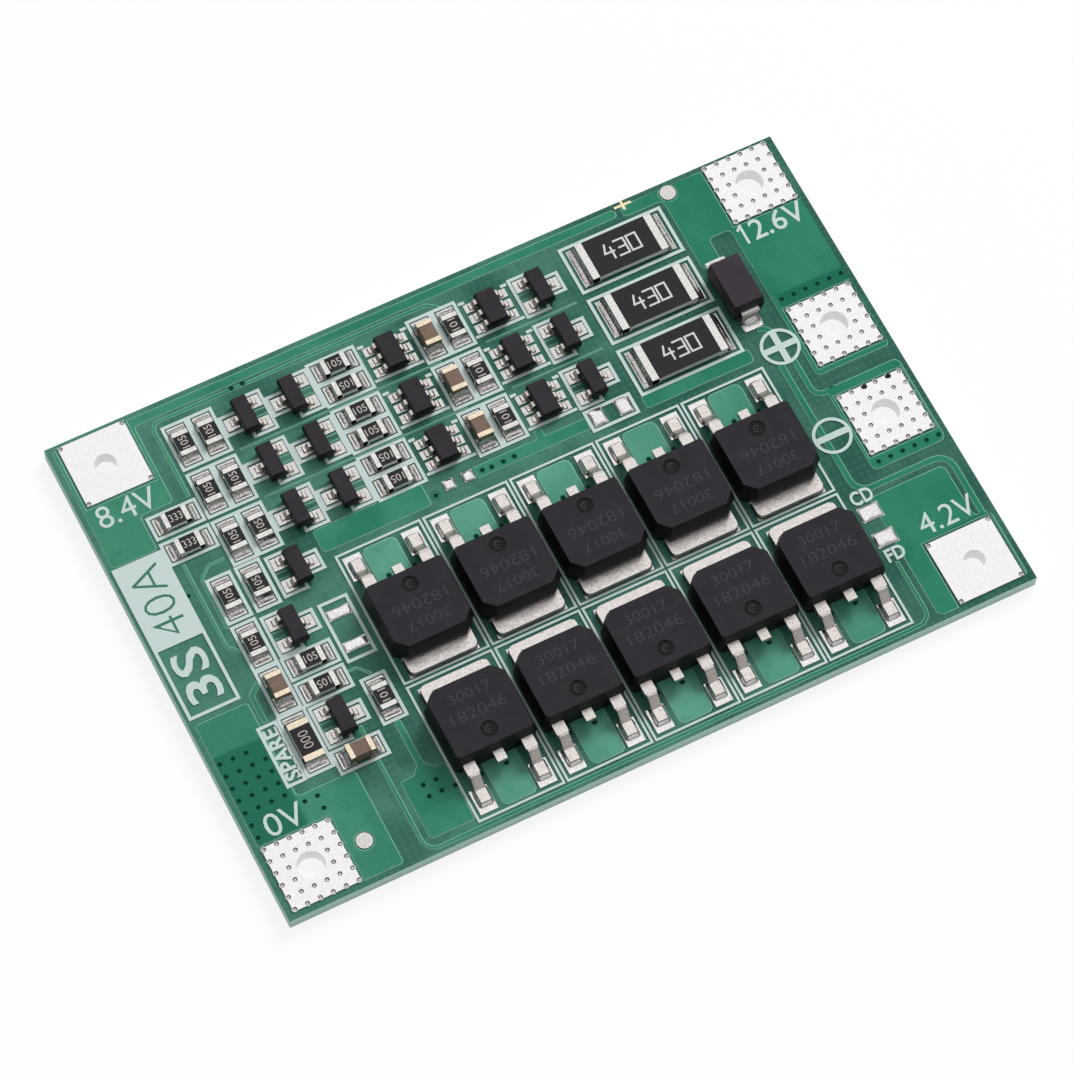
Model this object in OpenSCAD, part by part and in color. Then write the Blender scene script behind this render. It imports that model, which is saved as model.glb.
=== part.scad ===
// Three-cell battery management board: a green laminate with six wire terminals,
// ten power transistors, their control circuits and the balancing resistors.
// Origin: centre of the board's underside. +X runs to the 12.6 V end, +Y to the 8.4 V edge.

/* [Board] */
// Length of the board
board_l = 60; // [58:0.5:70]
// Width of the board
board_w = 41; // [40.5:0.5:46]
// Thickness of the laminate
board_t = 1.2; // [0.8:0.1:2]

/* [Surface layers] */
// Height of the masked copper above the bare mask
copper_t = 0.04; // [0.02:0.01:0.06]
// Height of a tinned land
land_t = 0.07; // [0.05:0.01:0.1]
// Thickness of the printed legend, which lies level with the mask over the copper
legend_t = 0.03; // [0.02:0.01:0.05]
// Width of a printed line around the small parts
line_w = 0.25; // [0.15:0.01:0.28]
// Width of a printed line around the power transistors
fet_line_w = 0.18; // [0.12:0.01:0.22]
// Gap between the masked copper and a terminal or a round mark
mask_gap = 0.1; // [0.05:0.01:0.15]

/* [Terminals] */
// Side of a square terminal
term_side = 5.3; // [4.8:0.1:5.6]
// Thickness of the terminal metal on each face
term_t = 0.1; // [0.06:0.01:0.15]
// Radius of the wire hole in a sense terminal
wire_hole_r = 0.8; // [0.5:0.05:1]
// Radius of the wire hole in a main terminal
main_hole_r = 1.05; // [0.8:0.05:1.15]
// Wall of the plated barrel in a wire hole
barrel_wall = 0.2; // [0.18:0.01:0.3]
// Pitch of the vias in a main terminal
via_pitch = 1; // [0.9:0.01:1.05]
// Radius of the ring around a via
via_ring_r = 0.22; // [0.21:0.01:0.24]
// Radius of a via's dimple
via_r = 0.18; // [0.12:0.01:0.19]
// Thickness of the solder that closes a via
via_floor = 0.03; // [0.01:0.01:0.05]

/* [Power transistors] */
// Width of a moulded body
fet_w = 6.6; // [6.3:0.05:6.8]
// Length of a moulded body
fet_l = 6.05; // [5.8:0.05:6.4]
// Height of a moulded body
fet_h = 2.3; // [2:0.05:2.5]
// Gap between neighbouring bodies in a row
fet_gap = 0.45; // [0.3:0.05:0.6]
// Width of the tab
tab_w = 5.4; // [5:0.05:5.6]
// Thickness of the leadframe
frame_t = 0.5; // [0.4:0.05:0.6]
// Reach of the tab beyond the body
tab_reach = 1.1; // [0.8:0.05:1.3]
// Distance from a lead's middle to the body's middle
lead_x = 2.3; // [2.1:0.05:2.4]
// Width of a lead
lead_w = 0.78; // [0.6:0.02:0.95]
// Reach of a lead beyond the body
lead_reach = 2.8; // [2.5:0.05:3]
// Length of a lead's foot
lead_foot = 1.1; // [0.8:0.05:1.3]
// Height of a lead's middle where it leaves the body
lead_exit = 1.05; // [0.9:0.05:1.3]
// Reach of the cut centre lead
stub_reach = 0.8; // [0.5:0.05:1.1]
// Gap from the upper row's tabs to the line between the rows
upper_tab_gap = 0.4; // [0.2:0.05:0.6]
// Gap from the lower row's tabs to the line between the rows
lower_tab_gap = 0.7; // [0.3:0.05:0.9]

/* [Small packages] */
// Width of a three-pin body
sot_w = 1.3; // [1.2:0.05:1.5]
// Length of a three-pin or six-pin body
sot_l = 2.9; // [2.7:0.05:3.1]
// Height of a three-pin or six-pin body
sot_h = 1.05; // [0.9:0.05:1.2]
// Width of a six-pin body
ic_w = 1.6; // [1.5:0.05:1.8]
// Reach of a pin beyond its body
pin_reach = 0.55; // [0.45:0.05:0.65]
// Width of a pin
pin_w = 0.42; // [0.3:0.02:0.5]
// Thickness of a pin
pin_t = 0.14; // [0.1:0.01:0.18]
// Pitch of the pins on one side
pin_pitch = 0.95; // [0.9:0.01:1]

/* [Chips] */
// Length of a chip resistor or capacitor
chip_l = 2; // [1.8:0.05:2.2]
// Width of a chip resistor or capacitor
chip_w = 1.25; // [1.1:0.05:1.35]
// Height of a chip resistor
chip_h = 0.5; // [0.4:0.05:0.6]
// Height of a chip capacitor
cap_h = 1.1; // [0.8:0.05:1.3]
// Width of the end cap on a chip
cap_band = 0.4; // [0.3:0.02:0.5]
// Thickness of the metal of an end cap
cap_skin = 0.05; // [0.03:0.01:0.07]
// Length of the link chip
link_l = 3.2; // [3:0.05:3.4]
// Width of the link chip
link_w = 1.6; // [1.4:0.05:1.8]
// Length of a balancing resistor
bal_l = 6.35; // [6:0.05:6.6]
// Width of a balancing resistor
bal_w = 3.2; // [3:0.05:3.4]
// Height of a balancing resistor
bal_h = 0.6; // [0.5:0.05:0.8]

/* [Diode] */
// Width of the diode's body
diode_w = 2.6; // [2.4:0.05:2.8]
// Length of the diode's body
diode_l = 4.3; // [4:0.05:4.6]
// Height of the diode above its leads' soles
diode_h = 2.15; // [1.9:0.05:2.4]
// Width of a diode lead
diode_lead_w = 1.45; // [1.2:0.05:1.6]
// Thickness of a diode lead
diode_lead_t = 0.2; // [0.15:0.01:0.25]

/* [Layout] */
// Distance between the three cell rows
row_pitch = 4.25; // [4.1:0.05:4.35]
// Height of the lowest cell row above the board's middle line
row_y = 7.9; // [7.7:0.05:8.1]
// Line between the two rows of power transistors
fet_line_y = -8; // [-8.2:0.05:-7.8]
// Middle of the first power transistor in each row
fet_x = -11.4; // [-11.6:0.05:-11.2]
// Middle of the first chip in a cell row
row_x = -20.68; // [-20.9:0.02:-20.5]
// Printed margin around a chip, on its long sides
chip_margin = 0.4; // [0.3:0.05:0.45]
// Printed margin around a package with pins
pin_margin = 0.7; // [0.5:0.05:0.8]

/* [Hidden] */
$fn = 32;
eps = 0.01;

laminate_green = [0.10, 0.42, 0.30];
copper_green = [0.16, 0.52, 0.38];
print_white = [0.85, 0.92, 0.90];
tin = [0.80, 0.79, 0.76];
solder_white = [0.93, 0.93, 0.92];
epoxy = [0.14, 0.13, 0.15];
soft_epoxy = [0.24, 0.21, 0.22];
ceramic_top = [0.10, 0.10, 0.10];
tan_ceramic = [0.66, 0.50, 0.34];

edge_x = board_l / 2;
edge_y = board_w / 2;
face_z = board_t;                 // top of the laminate
sole_z = face_z + land_t;         // where leads and caps stand

// A place measured in from one of the board's edges.
function in_left(d) = -edge_x + d;
function in_right(d) = edge_x - d;
function in_top(d) = edge_y - d;
function in_bottom(d) = -edge_y + d;

plus_y = 4.25;                    // middle of the positive pack terminal
minus_y = -3.85;                  // middle of the negative pack terminal

// Terminals: middle in x and y, radius of the wire hole, true for the full via grid.
terminals = [
    [in_left(3.2), in_bottom(3.15), main_hole_r, true],
    [in_right(3.4), in_bottom(3.2), wire_hole_r, false],
    [in_left(3.55), in_top(2.95), wire_hole_r, false],
    [in_right(3.3), in_top(2.9), main_hole_r, true],
    [in_right(3.3), plus_y, main_hole_r, true],
    [in_right(3.4), minus_y, main_hole_r, true]
];
terminal_names = ["0v", "4v2", "8v4", "12v6", "pack_plus", "pack_minus"];
via_count = 6;                    // vias along a side of the grid
via_first = -(via_count - 1) * via_pitch / 2;
via_corner = term_side / 2 - via_r;

// Cells of a row, from left to right: each takes its width from its package.
sot_span = sot_w + 2 * pin_reach;
ic_span = ic_w + 2 * pin_reach;
chip_cell = chip_w + 2 * chip_margin;
sot_cell = sot_span + 2 * pin_margin;
ic_cell = ic_span + 2 * pin_margin + 0.1;
land_over = 0.65;                 // a chip land beyond the chip's end
chip_cell_l = chip_l + 2 * land_over + 0.7;
bal_cell_l = bal_l + 2 * land_over + 0.95;
bal_cell_w = bal_w + 1;
bal_gap = 0.8;                    // between the last small cell and the balancing resistor
chip_a_x = row_x;
chip_b_x = chip_a_x + chip_cell;
sot_a_x = chip_b_x + (chip_cell + sot_cell) / 2;
sot_b_x = sot_a_x + sot_cell;
pair_x = sot_b_x + (sot_cell + chip_cell_l) / 2;
ic_a_x = pair_x + (chip_cell_l + ic_cell) / 2;
cap_x = ic_a_x + (ic_cell + chip_cell) / 2;
chip_c_x = cap_x + chip_cell;
ic_b_x = chip_c_x + (chip_cell + ic_cell) / 2;
sot_c_x = ic_b_x + (ic_cell + sot_cell) / 2;
bal_x = sot_c_x + sot_cell / 2 + bal_gap + bal_cell_l / 2;
row_ys = [for (k = [0:2]) row_y + k * row_pitch];
bal_pitch = bal_cell_w + 0.53;
bal_ys = [for (k = [-1:1]) row_ys[1] - 0.17 + k * bal_pitch];
pair_step = chip_cell - 0.1;
diode_x = bal_x + bal_cell_l / 2 + 1.55;
diode_y = row_ys[0] + 1.8;

// Control cluster to the left of the power transistors.
aux_a_x = row_x - 2.37;
aux_b_x = row_x + 0.73;
aux_c_x = row_x + 4.13;

// Every chip resistor: x, y, turn.
chip_places = concat(
    [for (y = row_ys, x = [chip_a_x, chip_b_x, chip_c_x]) [x, y, 90]],
    [for (y = row_ys, s = [-1, 1]) [pair_x, y + s * pair_step / 2, 0]],
    [for (s = [-1, 1]) [aux_a_x - 0.75, row_y + 2.15 + s * 1.15, 0]],
    [[aux_a_x, 3.85, 90], [aux_a_x + 2.3, 3.85, 90], [aux_a_x, -0.3, 90],
     [aux_b_x, -3.15, 0], [aux_b_x, -5.35, 0], [aux_c_x, -8.1, 90]]
);
cap_places = concat(
    [for (y = row_ys) [cap_x, y, 90]],
    [[aux_a_x, -4.2, 90], [aux_b_x, -11.2, 0]]
);
link_place = [[aux_a_x, -8.75, 90]];
bal_places = [for (y = bal_ys) [bal_x, y, 0]];
spare_place = [aux_c_x + 0.05, -2.05, 90];
mark_places = [[in_right(9.2), in_top(0.95)], [in_left(7.35), in_bottom(3.15)]];
mark_r = 0.61;

// Every three-pin package: x, y, turn (0 has the single pin on the left).
sot_places = concat(
    [for (y = row_ys, x = [sot_a_x, sot_b_x]) [x, y, 0]],
    [for (y = row_ys) [sot_c_x, y, 180]],
    [[aux_c_x - 1.05, 3.8, 180], [aux_b_x, -0.35, 180], [aux_b_x, -8.25, 180]]
);
ic_places = [for (y = row_ys, x = [ic_a_x, ic_b_x]) [x, y, 0]];
diode_place = [diode_x, diode_y, 90];

// Power transistors: the first five stand with their leads up, the rest are turned.
fet_pitch = fet_w + fet_gap;
fet_count = 5;
fet_row_end = fet_x + (fet_count - 1) * fet_pitch + fet_w / 2;
fet_places = concat(
    [for (k = [0:fet_count - 1])
        [fet_x + k * fet_pitch, fet_line_y + upper_tab_gap + tab_reach + fet_l / 2, 0]],
    [for (k = [0:fet_count - 1])
        [fet_x + k * fet_pitch, fet_line_y - lower_tab_gap - tab_reach - fet_l / 2, 180]]
);
fet_box_w = fet_w + 0.3;
fet_box_lead = fet_l / 2 + lead_reach + 1.1;
lead_land = [1.4, 2];
tab_land = 0.06;                  // a tab's land beyond the tab
lead_land_y = fet_l / 2 + lead_reach - 0.35;

// Open lands: two test pads beside the lower row, two pairs above the upper row.
test_pad = [1.7, 1.25];
pad_gap = 0.7;                    // between the last power transistor and the test pads
test_pad_x = fet_row_end + pad_gap + test_pad[0] / 2;
open_y = row_y - 2.8;             // middle line of the pairs
wide_pair_x = fet_x + 19.9;
small_pair_x = fet_x + 7.38;

// ---- Geometry helpers ----

function unit(v) = v / norm(v);
function left_of(v) = [-v[1], v[0]];
function turned(v, a) = [v[0] * cos(a) - v[1] * sin(a), v[0] * sin(a) + v[1] * cos(a)];

// Points of a corner at b, between a and c, rounded to radius r in n steps.
function corner(a, b, c, r, n) =
    let (u = unit(b - a), v = unit(c - b))
    let (turn = atan2(cross(u, v), u * v), side = sign(turn))
    let (start = b - u * r * tan(abs(turn) / 2), arm = -side * r * left_of(u))
    abs(turn) < 0.01 ? [b] : [for (k = [0:n]) start - arm + turned(arm, turn * k / n)];

// A path with its inner corners rounded.
function rounded_path(p, r, n = 4) =
    len(p) < 3 ? p
        : [p[0], for (i = [1:len(p) - 2]) each corner(p[i - 1], p[i], p[i + 1], r, n), p[len(p) - 1]];

// A closed outline with all its corners rounded.
function rounded_loop(p, r, n = 3) =
    let (m = len(p))
    [for (i = [0:m - 1]) each corner(p[(i + m - 1) % m], p[i], p[(i + 1) % m], r, n)];

// The direction to step aside at point i of a path.
function aside(p, i) =
    let (u = unit(p[max(i, 1)] - p[max(i, 1) - 1]))
    let (v = unit(p[min(i, len(p) - 2) + 1] - p[min(i, len(p) - 2)]))
    let (m = unit(u + v))
    left_of(m) / (m * u);

// The outline of a strip of width w along a path.
function strip(p, w) = concat(
    [for (i = [0:len(p) - 1]) p[i] + aside(p, i) * w / 2],
    [for (i = [len(p) - 1:-1:0]) p[i] - aside(p, i) * w / 2]
);

module at_places(places) {
    for (p = places)
        translate([p[0], p[1], 0]) rotate(p[2]) children();
}

module outline_box(w, l, t = line_w) {
    difference() {
        square([w, l], center = true);
        square([w - 2 * t, l - 2 * t], center = true);
    }
}

module ring(r) {
    difference() {
        circle(r);
        circle(r - 0.25);
    }
}

// Prism along Y from a profile given in x and z.
module along_y(w) {
    rotate([90, 0, 0]) linear_extrude(w, center = true) children();
}

// ---- Board and its surface layers ----

module at_terminals() {
    for (t = terminals) translate([t[0], t[1], 0]) children();
}

module board() {
    color(laminate_green)
    difference() {
        translate([-edge_x, -edge_y, 0]) cube([board_l, board_w, board_t]);
        for (t = terminals) translate([t[0], t[1], 0]) {
            translate([0, 0, -eps]) cylinder(h = board_t + 2 * eps, r = t[2] + barrel_wall);
            translate([-term_side / 2, -term_side / 2, -eps])
                cube([term_side, term_side, term_t + eps]);
        }
    }
}

// A pad on one face, from z = 0 up, with a dimple at each via.
module terminal_plate(full_grid, ringed) {
    vias = full_grid
        ? [for (i = [0:via_count - 1], j = [0:via_count - 1])
              if (abs(i - 2.5) > 1 || abs(j - 2.5) > 1)
                  [via_first + i * via_pitch, via_first + j * via_pitch]]
        : [for (i = [-1, 1], j = [-1, 1]) [i * via_corner, j * via_corner]];
    difference() {
        union() {
            translate([-term_side / 2, -term_side / 2, 0]) cube([term_side, term_side, term_t]);
            if (ringed) for (v = vias) translate([v[0], v[1], 0]) cylinder(h = term_t, r = via_ring_r);
        }
        for (v = vias) translate([v[0], v[1], via_floor]) cylinder(h = term_t, r = via_r);
    }
}

// Plated terminal: a pad on each face, joined by the barrel in the wire hole.
module terminal(t) {
    color(solder_white)
    translate([t[0], t[1], 0])
    difference() {
        union() {
            translate([0, 0, face_z]) terminal_plate(t[3], t[3]);
            cylinder(h = board_t, r = t[2] + barrel_wall);
            translate([0, 0, term_t]) mirror([0, 0, 1]) terminal_plate(t[3], false);
        }
        translate([0, 0, -1]) cylinder(h = board_t + 2, r = t[2]);
    }
}

// Lands of one chip of length l and width w.
module chip_lands(l, w, gap) {
    for (s = [-1, 1])
        translate([s * (l / 2 + land_over + gap / 2) / 2, 0])
            square([l / 2 + land_over - gap / 2, w], center = true);
}

sot_land = [1, 1];
ic_land = [0.95, 0.72];
land_under = 0.1;                 // a pin land's middle, inside the pin's tip

module sot_lands() {
    x = sot_span / 2 - land_under;
    for (p = [[-x, 0], [x, pin_pitch], [x, -pin_pitch]])
        translate(p) square(sot_land, center = true);
}

module ic_lands() {
    for (s = [-1, 1], k = [-1:1])
        translate([s * (ic_span / 2 - land_under), k * pin_pitch]) square(ic_land, center = true);
}

module fet_lands() {
    for (s = [-1, 1])
        translate([s * (lead_x + 0.05), lead_land_y]) square(lead_land, center = true);
    translate([0, -fet_l / 2 - tab_reach / 2 + 1])
        square([tab_w + 2 * tab_land, tab_reach + 2 + 2 * tab_land], center = true);
}

module diode_lands() {
    for (s = [-1, 1])
        translate([s * (diode_l / 2 + 0.15), 0]) square([1.8, diode_lead_w + 0.15], center = true);
}

module all_lands() {
    at_places(chip_places) chip_lands(chip_l, chip_w + 0.1, 1);
    at_places(cap_places) chip_lands(chip_l, chip_w + 0.1, 1);
    at_places(link_place) chip_lands(link_l, link_w, 1.9);
    at_places(bal_places) chip_lands(bal_l, bal_w + 0.1, 4.8);
    at_places(sot_places) sot_lands();
    at_places(ic_places) ic_lands();
    at_places(fet_places) fet_lands();
    at_places([diode_place]) diode_lands();
}

module component_lands() {
    color(tin) translate([0, 0, face_z]) linear_extrude(land_t) all_lands();
}

// Open lands that carry nothing: the spare footprint and the test points.
module open_lands() {
    at_places([spare_place]) chip_lands(2.3, 1.8, 1.9);
    for (s = [-1, 1]) translate([wide_pair_x + s * 1.05, open_y]) square([1.1, 1.4], center = true);
    for (s = [-1, 1]) translate([small_pair_x + s * 0.78, open_y - 0.1]) square(0.85, center = true);
    for (d = [2.57, 4.85]) translate([test_pad_x, fet_line_y - d]) square(test_pad, center = true);
    translate([in_right(12.75), in_top(0.4)]) {
        square([1.4, 0.2], center = true);
        square([0.2, 0.8], center = true);
    }
}

// Round alignment marks.
module marks(r) {
    for (p = mark_places) translate(p) circle(r);
}

module test_pads() {
    color(tin)
    translate([0, 0, face_z])
    linear_extrude(land_t) {
        open_lands();
        marks(mark_r);
    }
}

// Printed frame around each kind of package.
module sot_frame() {
    half = sot_cell / 2 - line_w / 2;
    translate([-half / 2, 0]) outline_box(half + line_w, 1.8);
    translate([half / 2, 0]) outline_box(half + line_w, 3.6);
}

module ic_frame() {
    translate([0, -1.52]) square([ic_cell - 0.2, line_w], center = true);
    for (s = [-1, 1])
        translate([s * (ic_cell / 2 - 0.35), 1.52]) square([0.5, line_w], center = true);
}

module frame_lines() {
    at_places(chip_places) outline_box(chip_cell_l, chip_cell);
    at_places(cap_places) outline_box(chip_cell_l, chip_cell);
    at_places(link_place) outline_box(chip_cell_l + link_l - chip_l, link_w + 0.65);
    at_places(bal_places) outline_box(bal_cell_l, bal_cell_w);
    at_places([spare_place]) outline_box(5.1, 2.4);
    at_places(sot_places) sot_frame();
    at_places(ic_places) ic_frame();
    for (p = fet_places) {
        up = p[2] == 0;
        far = up ? p[1] + fet_box_lead : p[1] - fet_box_lead;
        near = up ? fet_line_y + fet_line_w / 2 : fet_line_y - fet_line_w / 2;
        translate([p[0], (far + near) / 2]) outline_box(fet_box_w, abs(far - near), fet_line_w);
    }
    translate([wide_pair_x, open_y - 0.1]) outline_box(3.9, 1.9);
}

// Polarity marks: a ring with a plus and a ring with a minus.
module polarity_marks() {
    translate([in_right(7.8), plus_y + 0.08]) {
        ring(1.52);
        square([2.6, 0.5], center = true);
        square([0.5, 2.6], center = true);
    }
    translate([in_right(7.85), minus_y]) {
        ring(1.5);
        square([2.55, 0.5], center = true);
    }
}

// Rating badge: a filled upper field and a framed lower field.
module badge() {
    badge_w = 4.05;
    translate([in_left(0.25), 2.2]) square([badge_w, 7.3]);
    translate([in_left(0.25) + badge_w / 2, -0.6]) outline_box(badge_w, 6.1);
}

module legend_shapes() {
    frame_lines();
    polarity_marks();
    badge();
    translate([in_left(5), -8.83]) outline_box(1.6, 5.15);
}

module legend_print() {
    color(print_white)
    translate([0, 0, face_z + copper_t])
    linear_extrude(legend_t)
    difference() {
        legend_shapes();
        all_lands();
        open_lands();
    }
}

// ---- Masked copper ----

module area(points, r) {
    polygon(rounded_loop(points, r));
}

module track(points, w, r = 0.5) {
    polygon(strip(rounded_path(points, r), w));
}

copper_in = 0.4;                  // copper stops this far inside the board's edge
copper_x = edge_x - copper_in;
copper_y = edge_y - copper_in;

module left_copper() {
    area([[-copper_x, in_top(10.9)], [in_left(4), in_top(10.9)], [in_left(4), in_top(7.9)],
          [in_left(6.7), in_top(7.9)], [in_left(6.7), copper_y - 0.75], [in_right(13.5), copper_y - 0.75],
          [in_right(13.5), copper_y], [-copper_x, copper_y]], 0.3);
    area([[-copper_x, -copper_y], [in_left(9.14), -copper_y], [in_left(9.14), in_bottom(8.3)],
          [in_left(4.6), in_bottom(8.3)], [in_left(4.6), -4.1], [-copper_x, -4.1]], 0.3);
    track([[aux_a_x + 0.88, 12.5], [aux_a_x + 0.88, in_top(1.5)], [0.3, in_top(1.5)],
           [1.5, in_top(2.5)]], 0.32, 0.7);
    translate([aux_a_x, 0]) {
        track([[-1.82, 7.7], [-1.82, 0.4], [-1.05, -0.3]], 0.28, 0.4);
        track([[1.05, 6.85], [-0.25, 6.85], [-1.15, 6], [-1.15, 1.7]], 0.24, 0.4);
        track([[-1.05, -3.1], [-1.9, -3.8], [-1.9, -6.1]], 0.45, 0.4);
    }
    translate([aux_c_x, 0]) {
        track([[-1.45, -5.1], [-0.75, -5.1], [0.05, -6]], 0.22, 0.3);
        area([[-1.9, -19.35], [1.65, -19.35], [1.65, -14.45], [0.85, -14.45], [0.3, -13.8],
              [0.3, -10.1], [-0.25, -10.1], [-0.25, -13.8], [-0.8, -14.45], [-1.9, -14.45]], 0.2);
    }
}

module right_copper() {
    area([[in_right(6.5), 0.95], [copper_x, 0.95], [copper_x, copper_y], [in_right(13.1), copper_y],
          [in_right(13.1), copper_y - 1], [in_right(9.9), copper_y - 1], [in_right(9.9), in_top(7.9)],
          [in_right(8.25), in_top(7.9)], [in_right(8.25), in_top(5.8)], [in_right(6.5), in_top(5.8)]], 0.35);
    area([[in_right(6.5), -7.75], [copper_x, -7.75], [copper_x, -0.25], [in_right(6.5), -0.25]], 0.5);
    area([[in_right(7.9), -copper_y], [copper_x, -copper_y], [copper_x, in_bottom(6.3)],
          [in_right(1.65), in_bottom(6.3)], [in_right(1.65), -9.5], [in_right(7.9), -9.5]], 0.5);
    translate([edge_x, 0]) {
        track([[-7.4, 3], [-7.4, -0.47], [-5.5, -0.47]], 0.45, 0.8);
        track([[-8.6, 6.4], [-8, 6.1], [-7.6, 5.4]], 0.45, 0.4);
        track([[-8.45, 3], [-8.45, -8.8], [-1, -8.8], [-1, in_bottom(6)]], 0.5, 1.2);
    }
    track([[aux_b_x + 0.9, -9.3], [aux_b_x + 0.9, -copper_y], [test_pad_x - 0.15, -copper_y],
           [test_pad_x - 0.15, -14.9]], 0.32, 1);
}

module row_copper() {
    for (k = [0:1]) {
        y = (row_ys[k] + row_ys[k + 1]) / 2;
        track([[sot_a_x - 1.5, y], [cap_x, y]], 0.16);
        track([[ic_b_x - 1.5, y], [sot_c_x + 2, y]], 0.16);
    }
    at_places(sot_places)
        for (s = [-1, 1]) translate([sot_span / 2, s * 0.25]) square([0.9, 0.14], center = true);
    low = open_y - 0.62;
    translate([fet_x, low]) {
        area([[8.75, 0], [17.95, 0], [17.95, 1], [14.7, 1], [14.7, 1.7], [14.05, 1.7], [14.05, 1],
              [8.75, 1]], 0.1);
        area([[-4, -0.43], [4.8, -0.43], [4.8, 1.55], [-4, 1.55]], 0.3);
    }
    area([[wide_pair_x + 2.5, low - 0.38], [fet_row_end - 0.1, low - 0.38], [fet_row_end - 0.1, low + 0.82],
          [wide_pair_x + 2.5, low + 0.82]], 0.3);
}

module fet_window() {
    low = fet_l / 2 - 0.6;
    high = fet_box_lead - 0.35;
    area([[-1.5, low], [1.25, low], [1.25, high], [-1.5, high]], 0.5);
}

module copper_shapes() {
    left_copper();
    right_copper();
    row_copper();
    at_places(fet_places) fet_window();
}

module top_copper() {
    ring_out = max(0, via_ring_r - via_first - term_side / 2);
    cut = term_side + 2 * (ring_out + mask_gap);
    color(copper_green)
    translate([0, 0, face_z])
    linear_extrude(copper_t)
    difference() {
        copper_shapes();
        at_terminals() square(cut, center = true);
        all_lands();
        open_lands();
        marks(mark_r + mask_gap);
    }
}

// ---- Power transistors ----

// Turns a profile drawn in y and z into a prism along X.
module along_x(w) {
    rotate([90, 0, 90]) linear_extrude(w, center = true) children();
}

// Bent lead or pin: out of the body at exit_z, down to a flat foot. Drawn in y and z.
module gull_profile(body_half, inside, reach, foot, exit_z, t, r) {
    heel = body_half + reach - foot;
    knee = body_half + (reach - foot) * 0.55;
    path = [[body_half - inside, exit_z], [knee, exit_z], [heel, t / 2], [body_half + reach, t / 2]];
    polygon(strip(rounded_path(path, r, 3), t));
}

lead_held = 0.6;                  // part of a lead inside the body
lead_bend = 0.35;                 // bend radius of a lead's middle line
lead_shoulder = 0.85;             // wide start of a lead, just outside the body
shoulder_over = 0.14;             // how much wider than the lead it is
stub_bend = 1.5;                  // where the centre lead rises from the plate, inside the body

module lead() {
    along_x(lead_w)
        gull_profile(fet_l / 2, lead_held, lead_reach, lead_foot, lead_exit, frame_t, lead_bend);
    translate([0, fet_l / 2 + (lead_shoulder - lead_held) / 2, lead_exit])
        cube([lead_w + shoulder_over, lead_shoulder + lead_held, frame_t], center = true);
}

// Tab, the plate under the body and the cut centre lead, stamped in one piece.
module tab_plate() {
    tab_y = -fet_l / 2 - tab_reach;
    plate_y = fet_l / 2 - stub_bend + 0.2;
    half = tab_w / 2;
    linear_extrude(frame_t)
        area([[-half, tab_y], [half, tab_y], [half, plate_y], [-half, plate_y]], 0.45);
    rise = [[plate_y - 0.4, frame_t / 2], [plate_y, frame_t / 2], [plate_y + 0.55, lead_exit],
            [fet_l / 2 + stub_reach, lead_exit]];
    along_x(lead_w) polygon(strip(rounded_path(rise, frame_t * 0.7, 3), frame_t));
}

module leadframe_shape() {
    tab_plate();
    for (s = [-1, 1]) translate([s * lead_x, 0, 0]) lead();
}

// Moulded body: drafted on all sides from the parting line, with its corners cut.
mould_low = 0.03;                 // underside of the body above the lead soles
mould_draft = 0.27;               // how far a wall leans in above the parting line
mould_under = 0.1;                // how far it leans in below
tab_corner = 0.95;                // corner cut at the tab's end
lead_corner = 0.35;               // corner cut at the leads' end

// Drafted wall profile, from the parting line at x = 0 out to x = 2.
module beyond_wall() {
    polygon([[-mould_under, mould_low - 1], [-mould_under, mould_low], [0, lead_exit],
             [-mould_draft, fet_h], [-mould_draft, fet_h + 1], [2, fet_h + 1], [2, mould_low - 1]]);
}

module fet_mould() {
    hx = fet_w / 2;
    hy = fet_l / 2;
    difference() {
        translate([-hx, -hy, mould_low]) cube([fet_w, fet_l, fet_h - mould_low]);
        for (a = [0, 180]) rotate(a) translate([hx, 0, 0]) along_y(fet_l + 4) beyond_wall();
        for (a = [90, -90]) rotate(a) translate([hy, 0, 0]) along_y(fet_w + 4) beyond_wall();
        for (s = [-1, 1]) {
            translate([s * (hx - tab_corner / 2), -hy + tab_corner / 2, 0])
                rotate(-90 + s * 45) along_y(6) beyond_wall();
            translate([s * (hx - lead_corner / 2), hy - lead_corner / 2, 0])
                rotate(90 - s * 45) along_y(6) beyond_wall();
        }
    }
}

module mosfet_body(place) {
    color(epoxy)
    translate([place[0], place[1], sole_z]) rotate(place[2])
    difference() {
        fet_mould();
        translate([0, fet_l / 2 - 1.4, fet_h - 0.08]) cylinder(h = 1, r = 0.62);   // ejector dimple
        leadframe_shape();
    }
}

module mosfet_leadframe(place) {
    color(tin) translate([place[0], place[1], sole_z]) rotate(place[2]) leadframe_shape();
}

// ---- Small moulded packages ----

// Drafted block standing on z = low, widest at the parting line.
module drafted_block(w, l, low, h, draft) {
    mid = (low + h) / 2;
    intersection() {
        along_y(l + 1)
            polygon([[-w / 2 + draft, low], [w / 2 - draft, low], [w / 2, mid],
                     [w / 2 - draft, h], [-w / 2 + draft, h], [-w / 2, mid]]);
        along_x(w + 1)
            polygon([[-l / 2 + draft, low], [l / 2 - draft, low], [l / 2, mid],
                     [l / 2 - draft, h], [-l / 2 + draft, h], [-l / 2, mid]]);
    }
}

// One bent pin that points to +X.
module pin(body_w) {
    held = 0.2;
    foot = 0.25;
    bend = 0.08;
    rotate(-90)
        along_x(pin_w) gull_profile(body_w / 2, held, pin_reach, foot, sot_h / 2, pin_t, bend);
}

module sot_pins() {
    rotate(180) pin(sot_w);
    for (s = [-1, 1]) translate([0, s * pin_pitch, 0]) pin(sot_w);
}

module ic_pins() {
    for (a = [0, 180], k = [-1:1]) rotate(a) translate([0, k * pin_pitch, 0]) pin(ic_w);
}

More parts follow.
